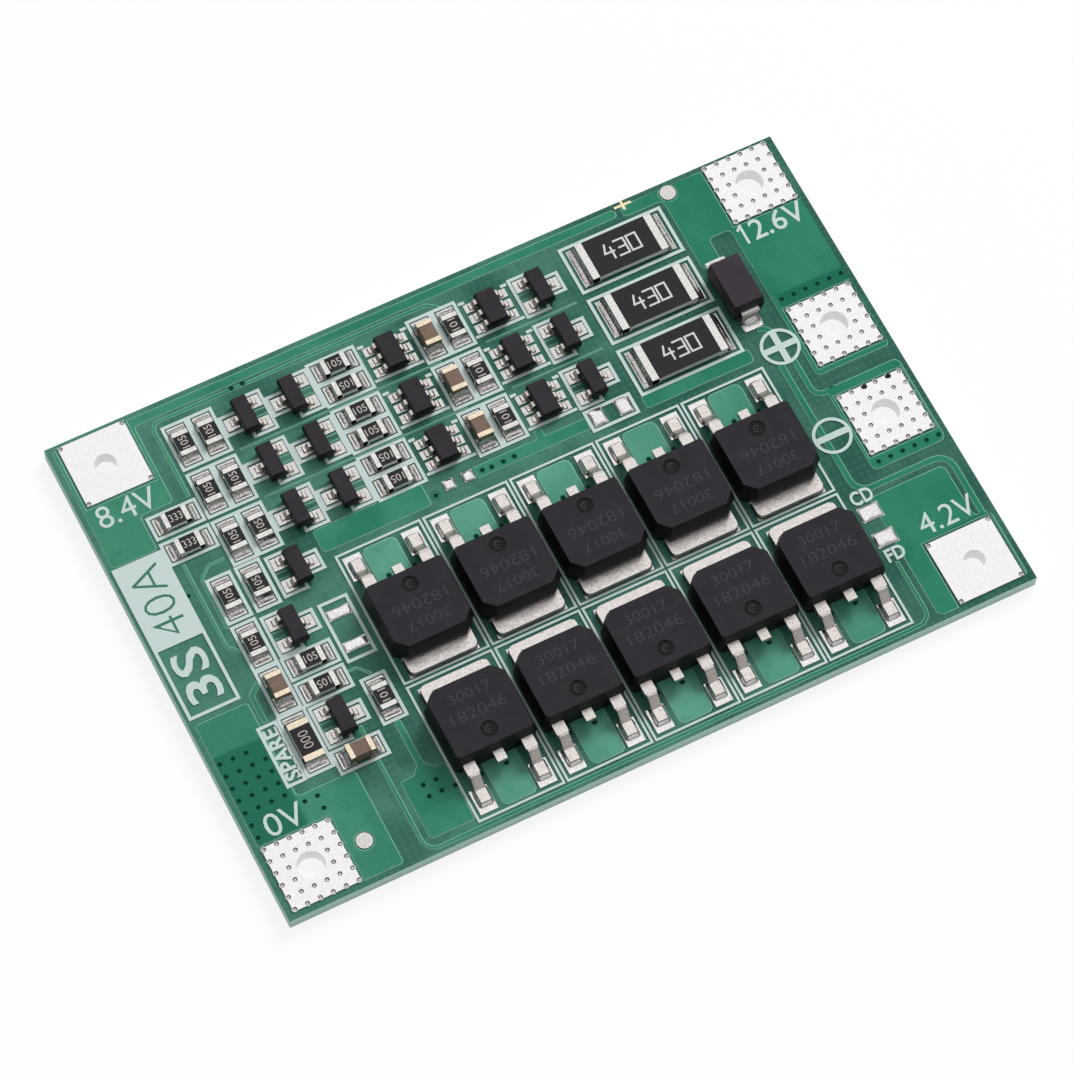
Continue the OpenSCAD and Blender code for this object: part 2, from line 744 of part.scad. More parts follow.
module transistor_bodies() {
    color(soft_epoxy)
    for (p = sot_places)
        translate([p[0], p[1], sole_z]) rotate(p[2])
            difference() {
                drafted_block(sot_w, sot_l, 0.06, sot_h, 0.09);
                sot_pins();
            }
}

module transistor_pins() {
    color(tin)
    for (p = sot_places) translate([p[0], p[1], sole_z]) rotate(p[2]) sot_pins();
}

module monitor_ic_body(p) {
    color(soft_epoxy)
    translate([p[0], p[1], sole_z])
        difference() {
            drafted_block(ic_w, sot_l, 0.06, sot_h, 0.09);
            ic_pins();
        }
}

module monitor_ic_pins(p) {
    color(tin) translate([p[0], p[1], sole_z]) ic_pins();
}

// ---- Chips ----

// Ceramic of a chip resistor: the coated top stands between the end caps.
module resistor_core(l, w, h, band) {
    along_y(w) {
        translate([-l / 2 + cap_skin, cap_skin]) square([l - 2 * cap_skin, h - 2 * cap_skin]);
        translate([-l / 2 + band, h / 2]) square([l - 2 * band, h / 2]);
    }
}

// End cap of a chip resistor: wraps the top, the end and the underside.
module resistor_caps(l, w, h, band) {
    for (s = [0, 1]) mirror([s, 0, 0])
        along_y(w)
        difference() {
            translate([l / 2 - band, 0]) square([band, h]);
            translate([l / 2 - band - 1, cap_skin]) square([band + 1 - cap_skin, h - 2 * cap_skin]);
        }
}

module capacitor_core() {
    translate([0, 0, cap_h / 2])
        cube([chip_l - 2 * cap_skin, chip_w - 2 * cap_skin, cap_h - 2 * cap_skin], center = true);
}

module capacitor_caps() {
    for (s = [-1, 1])
        difference() {
            translate([s * (chip_l - cap_band) / 2, 0, cap_h / 2])
                cube([cap_band, chip_w, cap_h], center = true);
            capacitor_core();
        }
}

module chip_resistor_bodies() {
    color(ceramic_top)
    translate([0, 0, sole_z]) at_places(chip_places) resistor_core(chip_l, chip_w, chip_h, cap_band);
}

module chip_resistor_caps() {
    color(tin)
    translate([0, 0, sole_z]) at_places(chip_places) resistor_caps(chip_l, chip_w, chip_h, cap_band);
}

module chip_capacitor_bodies() {
    color(tan_ceramic) translate([0, 0, sole_z]) at_places(cap_places) capacitor_core();
}

module chip_capacitor_caps() {
    color(tin) translate([0, 0, sole_z]) at_places(cap_places) capacitor_caps();
}

module link_body() {
    color(ceramic_top)
    translate([0, 0, sole_z]) at_places(link_place) resistor_core(link_l, link_w, chip_h, link_band);
}

module link_caps() {
    color(tin)
    translate([0, 0, sole_z]) at_places(link_place) resistor_caps(link_l, link_w, chip_h, link_band);
}

link_band = cap_band + 0.1;
bal_band = 0.6;

module balance_resistor_body(p) {
    color(ceramic_top) translate([p[0], p[1], sole_z]) resistor_core(bal_l, bal_w, bal_h, bal_band);
}

module balance_resistor_caps(p) {
    color(tin) translate([p[0], p[1], sole_z]) resistor_caps(bal_l, bal_w, bal_h, bal_band);
}

// ---- Diode ----

// Flat leads that leave the ends at mid height and wrap under the body.
module diode_lead_shapes() {
    run = diode_l / 2 + 0.25;
    exit = 1.15;                  // height at which a lead leaves the body
    low = diode_lead_t / 2;
    path = [[diode_l / 2 - 0.4, exit], [run, exit], [run, low], [diode_l / 2 - 0.9, low]];
    for (s = [0, 1]) mirror([s, 0, 0])
        along_y(diode_lead_w) polygon(strip(rounded_path(path, 0.16, 3), diode_lead_t));
}

module diode_body() {
    color(epoxy)
    translate([diode_x, diode_y, sole_z]) rotate(90)
    difference() {
        drafted_block(diode_l, diode_w, diode_lead_t, diode_h, 0.12);
        diode_lead_shapes();
    }
}

module diode_leads() {
    color(tin) translate([diode_x, diode_y, sole_z]) rotate(90) diode_lead_shapes();
}

// ---- Nodes ----

board();
top_copper();
legend_print();
component_lands();
test_pads();
for (k = [0:len(terminals) - 1])
    terminal(terminals[k]);
for (k = [1:len(fet_places)])
    mosfet_body(fet_places[k - 1]);
for (k = [1:len(fet_places)])
    mosfet_leadframe(fet_places[k - 1]);
for (k = [1:len(ic_places)])
    monitor_ic_body(ic_places[k - 1]);
for (k = [1:len(ic_places)])
    monitor_ic_pins(ic_places[k - 1]);
for (k = [1:len(bal_places)])
    balance_resistor_body(bal_places[k - 1]);
for (k = [1:len(bal_places)])
    balance_resistor_caps(bal_places[k - 1]);
diode_body();
diode_leads();
transistor_bodies();
transistor_pins();
chip_resistor_bodies();
chip_resistor_caps();
chip_capacitor_bodies();
chip_capacitor_caps();
link_body();
link_caps();
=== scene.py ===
import math
import bmesh
import bpy
from mathutils import Matrix, Vector


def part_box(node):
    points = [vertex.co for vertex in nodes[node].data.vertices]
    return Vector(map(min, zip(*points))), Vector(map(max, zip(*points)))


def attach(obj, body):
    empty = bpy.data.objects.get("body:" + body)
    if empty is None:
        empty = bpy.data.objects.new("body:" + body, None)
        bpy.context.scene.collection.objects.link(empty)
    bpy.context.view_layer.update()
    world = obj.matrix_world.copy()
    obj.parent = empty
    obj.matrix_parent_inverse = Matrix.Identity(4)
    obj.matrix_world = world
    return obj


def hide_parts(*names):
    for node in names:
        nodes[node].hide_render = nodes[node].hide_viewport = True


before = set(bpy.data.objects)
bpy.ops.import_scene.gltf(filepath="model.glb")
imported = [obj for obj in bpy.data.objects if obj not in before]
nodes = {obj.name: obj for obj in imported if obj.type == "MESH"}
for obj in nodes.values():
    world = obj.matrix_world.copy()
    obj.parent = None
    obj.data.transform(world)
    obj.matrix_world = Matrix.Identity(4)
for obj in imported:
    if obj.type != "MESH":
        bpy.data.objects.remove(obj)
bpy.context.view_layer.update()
mm = 0.001
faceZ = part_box("board")[1].z  # top of the laminate
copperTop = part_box("top_copper")[1].z
printZ, printTop = (corner.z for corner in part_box("legend_print"))
hair = 0.001 * mm  # a hair's breadth, for overlaps and for tests of height
pitOffset = 1.625  # ejector pit of a power body, from its middle
print("frame loaded:", len(nodes), "nodes")


# Node tree helpers

def tint(r, g, b):
    def linear(v):
        v /= 255.0
        return v / 12.92 if v <= 0.04045 else ((v + 0.055) / 1.055) ** 2.4
    return (linear(r), linear(g), linear(b), 1.0)


def addNode(tree, kind, values=None, **settings):
    made = tree.nodes.new(kind)
    for key, value in settings.items():
        setattr(made, key, value)
    for key, value in (values or {}).items():
        if isinstance(value, bpy.types.NodeSocket):
            tree.links.new(value, made.inputs[key])
        else:
            made.inputs[key].default_value = value
    return made


def newTree(name):
    material = bpy.data.materials.new(name)
    material.use_nodes = True
    tree = material.node_tree
    tree.nodes.clear()
    return material, tree


def pointInMm(tree):
    coords = addNode(tree, "ShaderNodeTexCoord").outputs["Object"]
    return addNode(tree, "ShaderNodeVectorMath", {0: coords, 3: 1000.0}, operation="SCALE").outputs[0]


def maths(tree, operation, a, b=0.0, clamp=False):
    return addNode(tree, "ShaderNodeMath", {0: a, 1: b}, operation=operation, use_clamp=clamp).outputs[0]


def noise(tree, point, scale, detail=3.0, rough=0.55):
    values = {"Vector": point, "Scale": scale, "Detail": detail, "Roughness": rough}
    made = addNode(tree, "ShaderNodeTexNoise", values)
    return made.outputs[0]


def spread(tree, value, low, high, outLow=0.0, outHigh=1.0):
    made = addNode(tree, "ShaderNodeMapRange", {0: value, 1: low, 2: high, 3: outLow, 4: outHigh},
                   interpolation_type="SMOOTHSTEP")
    return made.outputs[0]


def mixed(tree, factor, a, b, blend="MIX"):
    made = addNode(tree, "ShaderNodeMix", {0: factor, 6: a, 7: b}, data_type="RGBA", blend_type=blend)
    return made.outputs[2]


def parts(tree, vector):
    made = addNode(tree, "ShaderNodeSeparateXYZ", {0: vector})
    return made.outputs[0], made.outputs[1], made.outputs[2]


def stretched(tree, point, scale):
    return addNode(tree, "ShaderNodeVectorMath", {0: point, 1: scale}, operation="MULTIPLY").outputs[0]


def upward(tree):
    return parts(tree, addNode(tree, "ShaderNodeNewGeometry").outputs["True Normal"])[2]


def bump(tree, height, depth, strength=1.0, under=None):
    values = {"Strength": strength, "Distance": depth * mm, "Height": height}
    if under is not None:
        values["Normal"] = under
    return addNode(tree, "ShaderNodeBump", values).outputs[0]


def patch(tree, x, y, area, soft=0.25):
    def between(value, low, high):
        rise = spread(tree, value, low - soft, low + soft)
        fall = spread(tree, value, high - soft, high + soft, 1.0, 0.0)
        return maths(tree, "MULTIPLY", rise, fall)
    x0, x1, y0, y1 = area
    return maths(tree, "MULTIPLY", between(x, x0, x1), between(y, y0, y1))


def surface(tree, color, rough, metallic=0.0, normal=None, specular=0.5):
    values = {"Base Color": color, "Roughness": rough, "Metallic": metallic, "Specular IOR Level": specular}
    if normal is not None:
        values["Normal"] = normal
    shader = addNode(tree, "ShaderNodeBsdfPrincipled", values)
    addNode(tree, "ShaderNodeOutputMaterial", {0: shader.outputs[0]})


# Materials

def weave(tree, point, pitch):
    values = {"Vector": point, "Scale": 0.31 / pitch, "Distortion": 1.2, "Detail": 1.0}
    across = addNode(tree, "ShaderNodeTexWave", values, bands_direction="X").outputs[1]
    along = addNode(tree, "ShaderNodeTexWave", values, bands_direction="Y").outputs[1]
    return maths(tree, "MULTIPLY", across, along)


# painted light and shade: the colour turns lighter toward -X and darker toward +X, following how light falls
# across the board
def paintedSideLight(tree, x, color, left, right):
    color = mixed(tree, spread(tree, x, -29.0, -14.0, 0.5, 0.0), color, tint(*left))
    return mixed(tree, spread(tree, x, 2.0, 24.0, 0.0, 0.45), color, tint(*right))


def laminateMaterial():
    look = {"dark": (40, 96, 82), "light": (72, 128, 112), "left": (80, 138, 118), "right": (26, 78, 68),
            "deep": (16, 88, 70), "deepArea": (-30.5, -24.6, -12.4, -3.9), "thread": (96, 146, 128),
            "stain": (30, 84, 70), "dust": (124, 168, 152), "edge": (204, 236, 222),
            "edgeDark": (178, 220, 202), "strand": (196, 210, 200), "skin": (60, 118, 96),
            "pitch": 0.55, "edgeRough": 0.75, "faceRough": 0.34, "relief": 0.012}
    material, tree = newTree("laminateMask")
    point = pointInMm(tree)
    x, y, z = parts(tree, point)
    nz = upward(tree)
    broad = noise(tree, point, 0.16, 2.0)
    middle = noise(tree, point, 1.1, 3.0)
    fine = noise(tree, point, 6.0, 4.0)
    cloth = weave(tree, point, look["pitch"])
    color = mixed(tree, spread(tree, broad, 0.36, 0.64), tint(*look["dark"]), tint(*look["light"]))
    deepPatch = patch(tree, x, y, look["deepArea"], 0.2)
    color = mixed(tree, maths(tree, "MULTIPLY", deepPatch, 0.6), color, tint(*look["deep"]))
    color = paintedSideLight(tree, x, color, look["left"], look["right"])
    color = mixed(tree, maths(tree, "MULTIPLY", cloth, 0.2), color, tint(*look["thread"]))
    color = mixed(tree, spread(tree, middle, 0.5, 0.72, 0.0, 0.3), color, tint(*look["stain"]))
    color = mixed(tree, spread(tree, fine, 0.55, 0.8, 0.0, 0.16), color, tint(*look["dust"]))
    layers = noise(tree, stretched(tree, point, (3.0, 3.0, 26.0)), 1.0, 4.0, 0.7)
    strands = noise(tree, stretched(tree, point, (14.0, 14.0, 5.0)), 1.0, 3.0)
    side = mixed(tree, spread(tree, layers, 0.42, 0.66), tint(*look["edge"]), tint(*look["edgeDark"]))
    side = mixed(tree, spread(tree, strands, 0.5, 0.75, 0.0, 0.35), side, tint(*look["strand"]))
    height = maths(tree, "DIVIDE", z, faceZ / mm)
    topSkin = spread(tree, height, 0.965, 0.985)
    skin = maths(tree, "MAXIMUM", topSkin, spread(tree, height, 0.015, 0.035, 1.0, 0.0))
    side = mixed(tree, skin, side, tint(*look["skin"]))
    flat = spread(tree, maths(tree, "ABSOLUTE", nz), 0.4, 0.6)
    color = mixed(tree, flat, side, color)
    rough = mixed(tree, flat, (look["edgeRough"],) * 3 + (1.0,), (look["faceRough"],) * 3 + (1.0,))
    relief = maths(tree, "ADD", maths(tree, "MULTIPLY", cloth, 0.5), maths(tree, "MULTIPLY", fine, 0.35))
    surface(tree, color, rough, normal=bump(tree, relief, look["relief"], 0.6), specular=0.16)
    return material


def copperMaterial(name, body, light, rim):
    look = {"left": (80, 150, 122), "right": (20, 120, 88), "deep": (12, 100, 80), "stain": (28, 100, 76),
            "dust": (120, 172, 150), "viaField": (-31.0, -25.6, -14.6, -6.9),
            "viaStrip": (23.9, 29.6, 7.0, 8.3), "upperField": (-31.0, -25.0, -7.2, -3.0)}
    material, tree = newTree(name)
    point = pointInMm(tree)
    x, y = parts(tree, point)[:2]
    nz = upward(tree)
    broad = noise(tree, point, 0.22, 2.0)
    middle = noise(tree, point, 0.9, 3.0)
    fine = noise(tree, point, 5.0, 4.0)
    color = mixed(tree, spread(tree, broad, 0.35, 0.65), tint(*body), tint(*light))
    color = paintedSideLight(tree, x, color, look["left"], look["right"])
    viaField = patch(tree, x, y, look["viaField"], 0.3)
    strip = patch(tree, x, y, look["viaStrip"], 0.15)
    upper = maths(tree, "MULTIPLY", patch(tree, x, y, look["upperField"], 0.9), 0.4)
    dark = maths(tree, "MAXIMUM", maths(tree, "MAXIMUM", viaField, upper), strip)
    color = mixed(tree, maths(tree, "MULTIPLY", dark, 0.85), color, tint(*look["deep"]))
    color = mixed(tree, spread(tree, middle, 0.5, 0.75, 0.0, 0.22), color, tint(*look["stain"]))
    color = mixed(tree, spread(tree, fine, 0.56, 0.8, 0.0, 0.16), color, tint(*look["dust"]))
    # paler on sloped copper edges: partly the thinner mask over the edge, partly a painted highlight where
    # the slope catches the light
    thinMaskAndHighlight = spread(tree, maths(tree, "ABSOLUTE", nz), 0.9, 0.985, 1.0, 0.0)
    color = mixed(tree, maths(tree, "MULTIPLY", thinMaskAndHighlight, 0.85), color, tint(*rim))
    rough = spread(tree, fine, 0.3, 0.7, 0.27, 0.38)
    surface(tree, color, rough, normal=bump(tree, fine, 0.006, 0.5), specular=0.16)
    return material


def legendMaterial():
    look = {"ink": (206, 222, 220), "thin": (168, 196, 190), "wash": (198, 220, 214)}
    material, tree = newTree("legendInk")
    point = pointInMm(tree)
    speck = noise(tree, point, 9.0, 5.0, 0.7)
    broad = noise(tree, point, 0.7, 2.0)
    color = mixed(tree, spread(tree, speck, 0.56, 0.74, 0.0, 0.65), tint(*look["ink"]), tint(*look["thin"]))
    color = mixed(tree, spread(tree, broad, 0.4, 0.7, 0.0, 0.25), color, tint(*look["wash"]))
    surface(tree, color, 0.62, normal=bump(tree, speck, 0.008, 0.6), specular=0.3)
    return material


def tinMaterial(name, bright, dull, rough, wall=None, gold=None, metal=1.0, ripple=(1.3, 0.05)):
    look = {"gold": (240, 226, 190), "grain": 0.006}  # the gold area is a land left unsoldered
    material, tree = newTree(name)
    point = pointInMm(tree)
    x, y = parts(tree, point)[:2]
    nz = upward(tree)
    grain = noise(tree, point, 7.0, 4.0, 0.6)
    wave = noise(tree, point, ripple[0], 2.0)
    color = mixed(tree, spread(tree, grain, 0.4, 0.7, 0.0, 0.8), tint(*bright), tint(*dull))
    if wall:
        # painted shade and dark reflection: sloped and upright faces take the darker wall colour
        color = mixed(tree, spread(tree, nz, 0.35, 0.9, 1.0, 0.0), color, tint(*wall))
    if gold:
        color = mixed(tree, patch(tree, x, y, gold, 0.05), color, tint(*look["gold"]))
    roughness = spread(tree, grain, 0.35, 0.7, rough - 0.07, rough + 0.09)
    normal = bump(tree, wave, ripple[1], 0.45)
    normal = bump(tree, grain, look["grain"], 0.5, normal)
    surface(tree, color, roughness, metal, normal)
    return material


def solderMaterial(name, bright, dull, rough):
    look = {"crystals": 2.4, "dimple": 0.06, "grain": 0.006}
    material, tree = newTree(name)
    point = pointInMm(tree)
    values = {"Vector": point, "Scale": look["crystals"]}
    crystal = addNode(tree, "ShaderNodeTexVoronoi", values, feature="SMOOTH_F1").outputs[0]
    grain = noise(tree, point, 9.0, 4.0, 0.65)
    color = mixed(tree, spread(tree, grain, 0.38, 0.7), tint(*bright), tint(*dull))
    normal = bump(tree, crystal, look["dimple"], 0.6)
    normal = bump(tree, grain, look["grain"], 0.4, normal)
    surface(tree, color, spread(tree, grain, 0.3, 0.7, rough - 0.05, rough + 0.1), 1.0, normal)
    return material


def epoxyMaterial(name, top, wall, rough, flecks=0.25):
    look = {"lift": 22, "grain": 0.02}
    material, tree = newTree(name)
    point = pointInMm(tree)
    nz = upward(tree)
    grain = noise(tree, point, 16.0, 5.0, 0.7)
    broad = noise(tree, point, 0.8, 2.0)
    # painted shade: the walls take a darker colour than the top, as light falls from above
    color = mixed(tree, spread(tree, nz, 0.5, 0.95), tint(*wall), tint(*top))
    lift = tuple(min(255, v + look["lift"]) for v in top)
    color = mixed(tree, spread(tree, grain, 0.55, 0.8, 0.0, flecks), color, tint(*lift))
    color = mixed(tree, spread(tree, broad, 0.4, 0.7, 0.0, 0.18), color, tint(*lift))
    surface(tree, color, rough, normal=bump(tree, grain, look["grain"], 0.55), specular=0.22)
    return material


def coatMaterial():
    look = {"glaze": (24, 23, 26), "worn": (52, 50, 53), "ceramic": (222, 224, 220)}
    material, tree = newTree("resistorCoat")
    point = pointInMm(tree)
    nz = upward(tree)
    grain = noise(tree, point, 8.0, 4.0)
    glaze = mixed(tree, spread(tree, grain, 0.5, 0.8, 0.0, 0.5), tint(*look["glaze"]), tint(*look["worn"]))
    color = mixed(tree, spread(tree, nz, 0.4, 0.7), tint(*look["ceramic"]), glaze)
    surface(tree, color, 0.36, normal=bump(tree, grain, 0.012, 0.5), specular=0.3)
    return material


def ceramicMaterial():
    look = {"light": (124, 102, 88), "dark": (104, 84, 72), "layer": (140, 118, 102)}
    material, tree = newTree("capacitorCeramic")
    point = pointInMm(tree)
    grain = noise(tree, point, 10.0, 4.0)
    layers = noise(tree, stretched(tree, point, (1.0, 1.0, 30.0)), 1.0, 2.0)
    color = mixed(tree, spread(tree, grain, 0.4, 0.7), tint(*look["light"]), tint(*look["dark"]))
    color = mixed(tree, spread(tree, layers, 0.5, 0.7, 0.0, 0.3), color, tint(*look["layer"]))
    surface(tree, color, 0.5, normal=bump(tree, grain, 0.012, 0.5))
    return material


def inkMaterial(name, shade, rough=0.6, gloss=0.3):
    look = {"fade": 0.72}
    material, tree = newTree(name)
    point = pointInMm(tree)
    speck = noise(tree, point, 18.0, 4.0, 0.7)
    faded = tuple(int(v * look["fade"]) for v in shade)
    color = mixed(tree, spread(tree, speck, 0.45, 0.75), tint(*shade), tint(*faded))
    surface(tree, color, rough, specular=gloss)
    return material


laminate = laminateMaterial()
# each copper material's last colour is its paler edge: thinner mask and painted highlight
copperFill = copperMaterial("maskedCopper", (41, 124, 98), (59, 140, 112), (140, 190, 168))
copperWindow = copperMaterial("maskedWindow", (84, 154, 131), (98, 167, 144), (150, 198, 176))
legend = legendMaterial()
landTin = tinMaterial("tinnedLand", (218, 216, 212), (184, 182, 177), 0.3, gold=(16.4, 18.1, 19.4, 20.6),
                      ripple=(2.6, 0.22))
terminalTin = tinMaterial("terminalTin", (248, 246, 247), (232, 228, 230), 0.34, metal=0.5)
# painted shade: the via bowls take a darker tin than the plate
shadedViaTin = tinMaterial("shadedViaTin", (206, 207, 205), (160, 162, 160), 0.28)
# the wall colours below are painted shade and dark reflection on slopes and sides
leadTin = tinMaterial("leadTin", (228, 221, 217), (198, 190, 186), 0.34, wall=(190, 180, 172))
capTin = tinMaterial("capTin", (230, 228, 224), (192, 190, 186), 0.32, wall=(130, 127, 121))
creamTin = tinMaterial("creamTin", (240, 226, 202), (210, 195, 170), 0.32, wall=(136, 122, 104))
solder = solderMaterial("reflowSolder", (240, 238, 236), (200, 198, 195), 0.2)
# chipSolder's dull colour is partly grain and partly painted: dark reflections on the cap fillets
chipSolder = solderMaterial("chipSolder", (206, 202, 200), (112, 108, 106), 0.22)
# painted shade: the tab's solder is dark, standing for the shade along the tab's edge
shadedEdgeSolder = solderMaterial("shadedEdgeSolder", (150, 148, 145), (104, 102, 100), 0.3)
# each epoxy's second colour is its wall, darkened as painted shade
powerEpoxy = epoxyMaterial("powerEpoxy", (37, 35, 41), (14, 13, 16), 0.5, 0.45)
smallEpoxy = epoxyMaterial("smallEpoxy", (43, 39, 45), (22, 20, 23), 0.48, 0.35)
diodeEpoxy = epoxyMaterial("diodeEpoxy", (52, 47, 54), (30, 26, 30), 0.48)
coat = coatMaterial()
ceramic = ceramicMaterial()
chipInk = inkMaterial("chipInk", (200, 190, 183))
digitInk = inkMaterial("digitInk", (226, 226, 224))
laserInk = inkMaterial("laserInk", (66, 64, 71), 0.7)
pitEpoxy = epoxyMaterial("pitEpoxy", (14, 13, 16), (8, 7, 10), 0.5)
viaShade = inkMaterial("viaShade", (6, 52, 42), 0.6, 0.08)
# painted shade: dark discs stand for the shaded inside of the open vias
openViaShade = inkMaterial("openViaShade", (24, 24, 26), 0.6)
viaRim = copperMaterial("viaRim", (34, 108, 86), (40, 114, 92), (40, 110, 88))
printGreen = copperMaterial("printGap", (38, 86, 74), (46, 96, 82), (46, 96, 82))
print("materials made:", len(bpy.data.materials))


# Geometry helpers

def mergedCopy(nodeName):
    form = bmesh.new()
    form.from_mesh(nodes[nodeName].data)
    bmesh.ops.remove_doubles(form, verts=form.verts, dist=0.002 * mm)
    return form


def finish(form, name, material, smooth, stands=(), flatTops=True):
    bmesh.ops.recalc_face_normals(form, faces=form.faces)
    mesh = bpy.data.meshes.new(name)
    form.to_mesh(mesh)
    form.free()
    for each in (material if isinstance(material, list) else [material]):
        mesh.materials.append(each)
    piece = bpy.data.objects.new(name, mesh)
    bpy.context.scene.collection.objects.link(piece)
    mesh.shade_smooth()
    mesh.set_sharp_from_angle(angle=math.radians(smooth))
    for face in mesh.polygons:
        if flatTops and abs(face.normal.z) > 0.9995:
            face.use_smooth = False
    even = piece.modifiers.new("evenNormals", "WEIGHTED_NORMAL")  # large faces stay flat beside their bevels
    even.keep_sharp = True
    even.weight = 80
    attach(piece, "root")
    if stands:
        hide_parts(*stands)


def islands(form):
    seen = set()
    found = []
    for start in form.verts:
        if start in seen:
            continue
        group = [start]
        seen.add(start)
        for vert in group:
            for edge in vert.link_edges:
                other = edge.other_vert(vert)
                if other not in seen:
                    seen.add(other)
                    group.append(other)
        found.append(group)
    return found


def boxOf(group):
    low = Vector([min(v.co[i] for v in group) for i in range(3)])
    high = Vector([max(v.co[i] for v in group) for i in range(3)])
    return low, high


def placed(place, turn):
    return Matrix.Translation(place) @ Matrix.Rotation(turn, 4, "Z")


def sharpEdges(form, angle):
    return [e for e in form.edges if e.is_manifold and e.calc_face_angle(0.0) > math.radians(angle)]


def rounded(form, edges, width, segments):
    bmesh.ops.bevel(form, geom=edges, offset=width * mm, offset_type="OFFSET", segments=segments, profile=0.5,
                    affect="EDGES", clamp_overlap=True, material=-1)


def softenedForm(nodeName, width, segments=2):
    form = mergedCopy(nodeName)
    bmesh.ops.dissolve_limit(form, angle_limit=math.radians(1.0), verts=form.verts, edges=form.edges)
    rounded(form, sharpEdges(form, 30), width, segments)
    return form


def softened(nodeName, material, width, segments=2):
    finish(softenedForm(nodeName, width, segments), nodeName + "_soft", material, 35.0, (nodeName,))


# A low mound on a rectangle: height(u, v) gives its rise, with u and v from -1 to 1
def heightForm(form, width, length, stepsX, stepsY, height, place, turn=0.0, inset=0.0):
    made = bmesh.ops.create_grid(form, x_segments=stepsX, y_segments=stepsY, size=0.5)
    verts = made["verts"]
    faces = list({f for v in verts for f in v.link_faces})
    for vert in verts:
        u, v = vert.co.x * 2.0, vert.co.y * 2.0
        vert.co.x = vert.co.x * (width - inset * abs(v) ** 4) * mm
        vert.co.y = vert.co.y * (length - inset * abs(u) ** 4) * mm
        vert.co.z = max(height(u, v), 0.004) * mm
    base = bmesh.ops.extrude_face_region(form, geom=faces)
    for vert in [g for g in base["geom"] if isinstance(g, bmesh.types.BMVert)]:
        vert.co.z = 0.0
        verts.append(vert)
    bmesh.ops.transform(form, matrix=placed(place, turn), verts=list(set(verts)))


def dress(nodeName, material):
    nodes[nodeName].data.materials.clear()
    nodes[nodeName].data.materials.append(material)


# Board, copper and legend

dress("board", laminate)


def copperPiece():
    look = {"rim": 0.06, "drop": 0.032, "windows": [(-0.6, 3.6), (-19.7, -15.8)], "windowX": (-13.6, 18.9),
            "windowWide": 4}
    form = mergedCopy("top_copper")
    form.normal_update()
    crowded = {e for e in form.edges if len(e.link_faces) > 2 and e.verts[0].co.z == e.verts[1].co.z}
    shared = [f for f in form.faces if abs(f.normal.z) < 0.5 and crowded.intersection(f.edges)]
    bmesh.ops.delete(form, geom=shared, context="FACES")  # walls between areas that touch
    for group in islands(form):
        low, high = boxOf(group)
        midX, midY = (low.x + high.x) / 2 / mm, (low.y + high.y) / 2 / mm
        inRow = look["windowX"][0] < midX < look["windowX"][1] and high.x - low.x < look["windowWide"] * mm
        inBand = any(a < midY < b for a, b in look["windows"])
        if inRow and inBand:
            for vert in group:
                for face in vert.link_faces:
                    face.material_index = 1
    tops = [f for f in form.faces if f.normal.z > 0.9]
    bmesh.ops.inset_region(form, faces=tops, thickness=look["rim"] * mm, depth=0.0, use_even_offset=True)
    form.normal_update()
    for vert in form.verts:
        if vert.co.z > copperTop - hair and any(abs(f.normal.z) < 0.5 for f in vert.link_faces):
            vert.co.z -= look["drop"] * mm
    finish(form, "copperUnderMask", [copperFill, copperWindow], 20.0, ("top_copper",))


copperPiece()
dress("legend_print", legend)
dress("component_lands", landTin)
dress("test_pads", landTin)
print("board layers done")


# Terminals

def terminalPiece(nodeName):
    look = {"edge": 0.03, "segments": 2, "floor": 0.03, "under": 0.07, "taper": 0.5, "wide": 5.35,
            "ring": 0.052, "plain": 0.01}  # floor and under are the vias' floors in the solids
    form = mergedCopy(nodeName)
    low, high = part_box(nodeName)
    mid = (low + high) / 2
    spare = look["ring"] if high.x - low.x > look["wide"] * mm else look["plain"]  # rings pass wide plates
    plate = (high.x - low.x) / 2 - spare * mm
    def outer(vert):
        return max(abs(vert.co.x - mid.x), abs(vert.co.y - mid.y)) > plate
    edges = [e for e in sharpEdges(form, 40) if outer(e.verts[0]) and outer(e.verts[1])]
    rounded(form, edges, look["edge"], look["segments"])
    form.normal_update()
    floors = set()
    for face in form.faces:
        height = face.calc_center_median().z
        atFloor = min(abs(height - faceZ - look["floor"] * mm), abs(height - look["under"] * mm)) < 0.004 * mm
        if atFloor and abs(face.normal.z) > 0.99:
            floors.update(face.verts)
    while floors:
        bowl = [floors.pop()]
        for vert in bowl:
            for edge in vert.link_edges:
                other = edge.other_vert(vert)
                if other in floors:
                    floors.discard(other)
                    bowl.append(other)
        middle = sum((v.co for v in bowl), Vector()) / len(bowl)
        for vert in bowl:
            vert.co = middle + (vert.co - middle) * look["taper"]
            # the bowl faces take the darker via tin, painted shade in the dimples
            for face in vert.link_faces:
                face.material_index = 1
    finish(form, nodeName + "_tinned", [terminalTin, shadedViaTin], 35.0, (nodeName,))


terminalNames = sorted(n for n in nodes if n.startswith("terminal_"))
for each in terminalNames:
    terminalPiece(each)
print("terminals done:", len(terminalNames))


# Packages

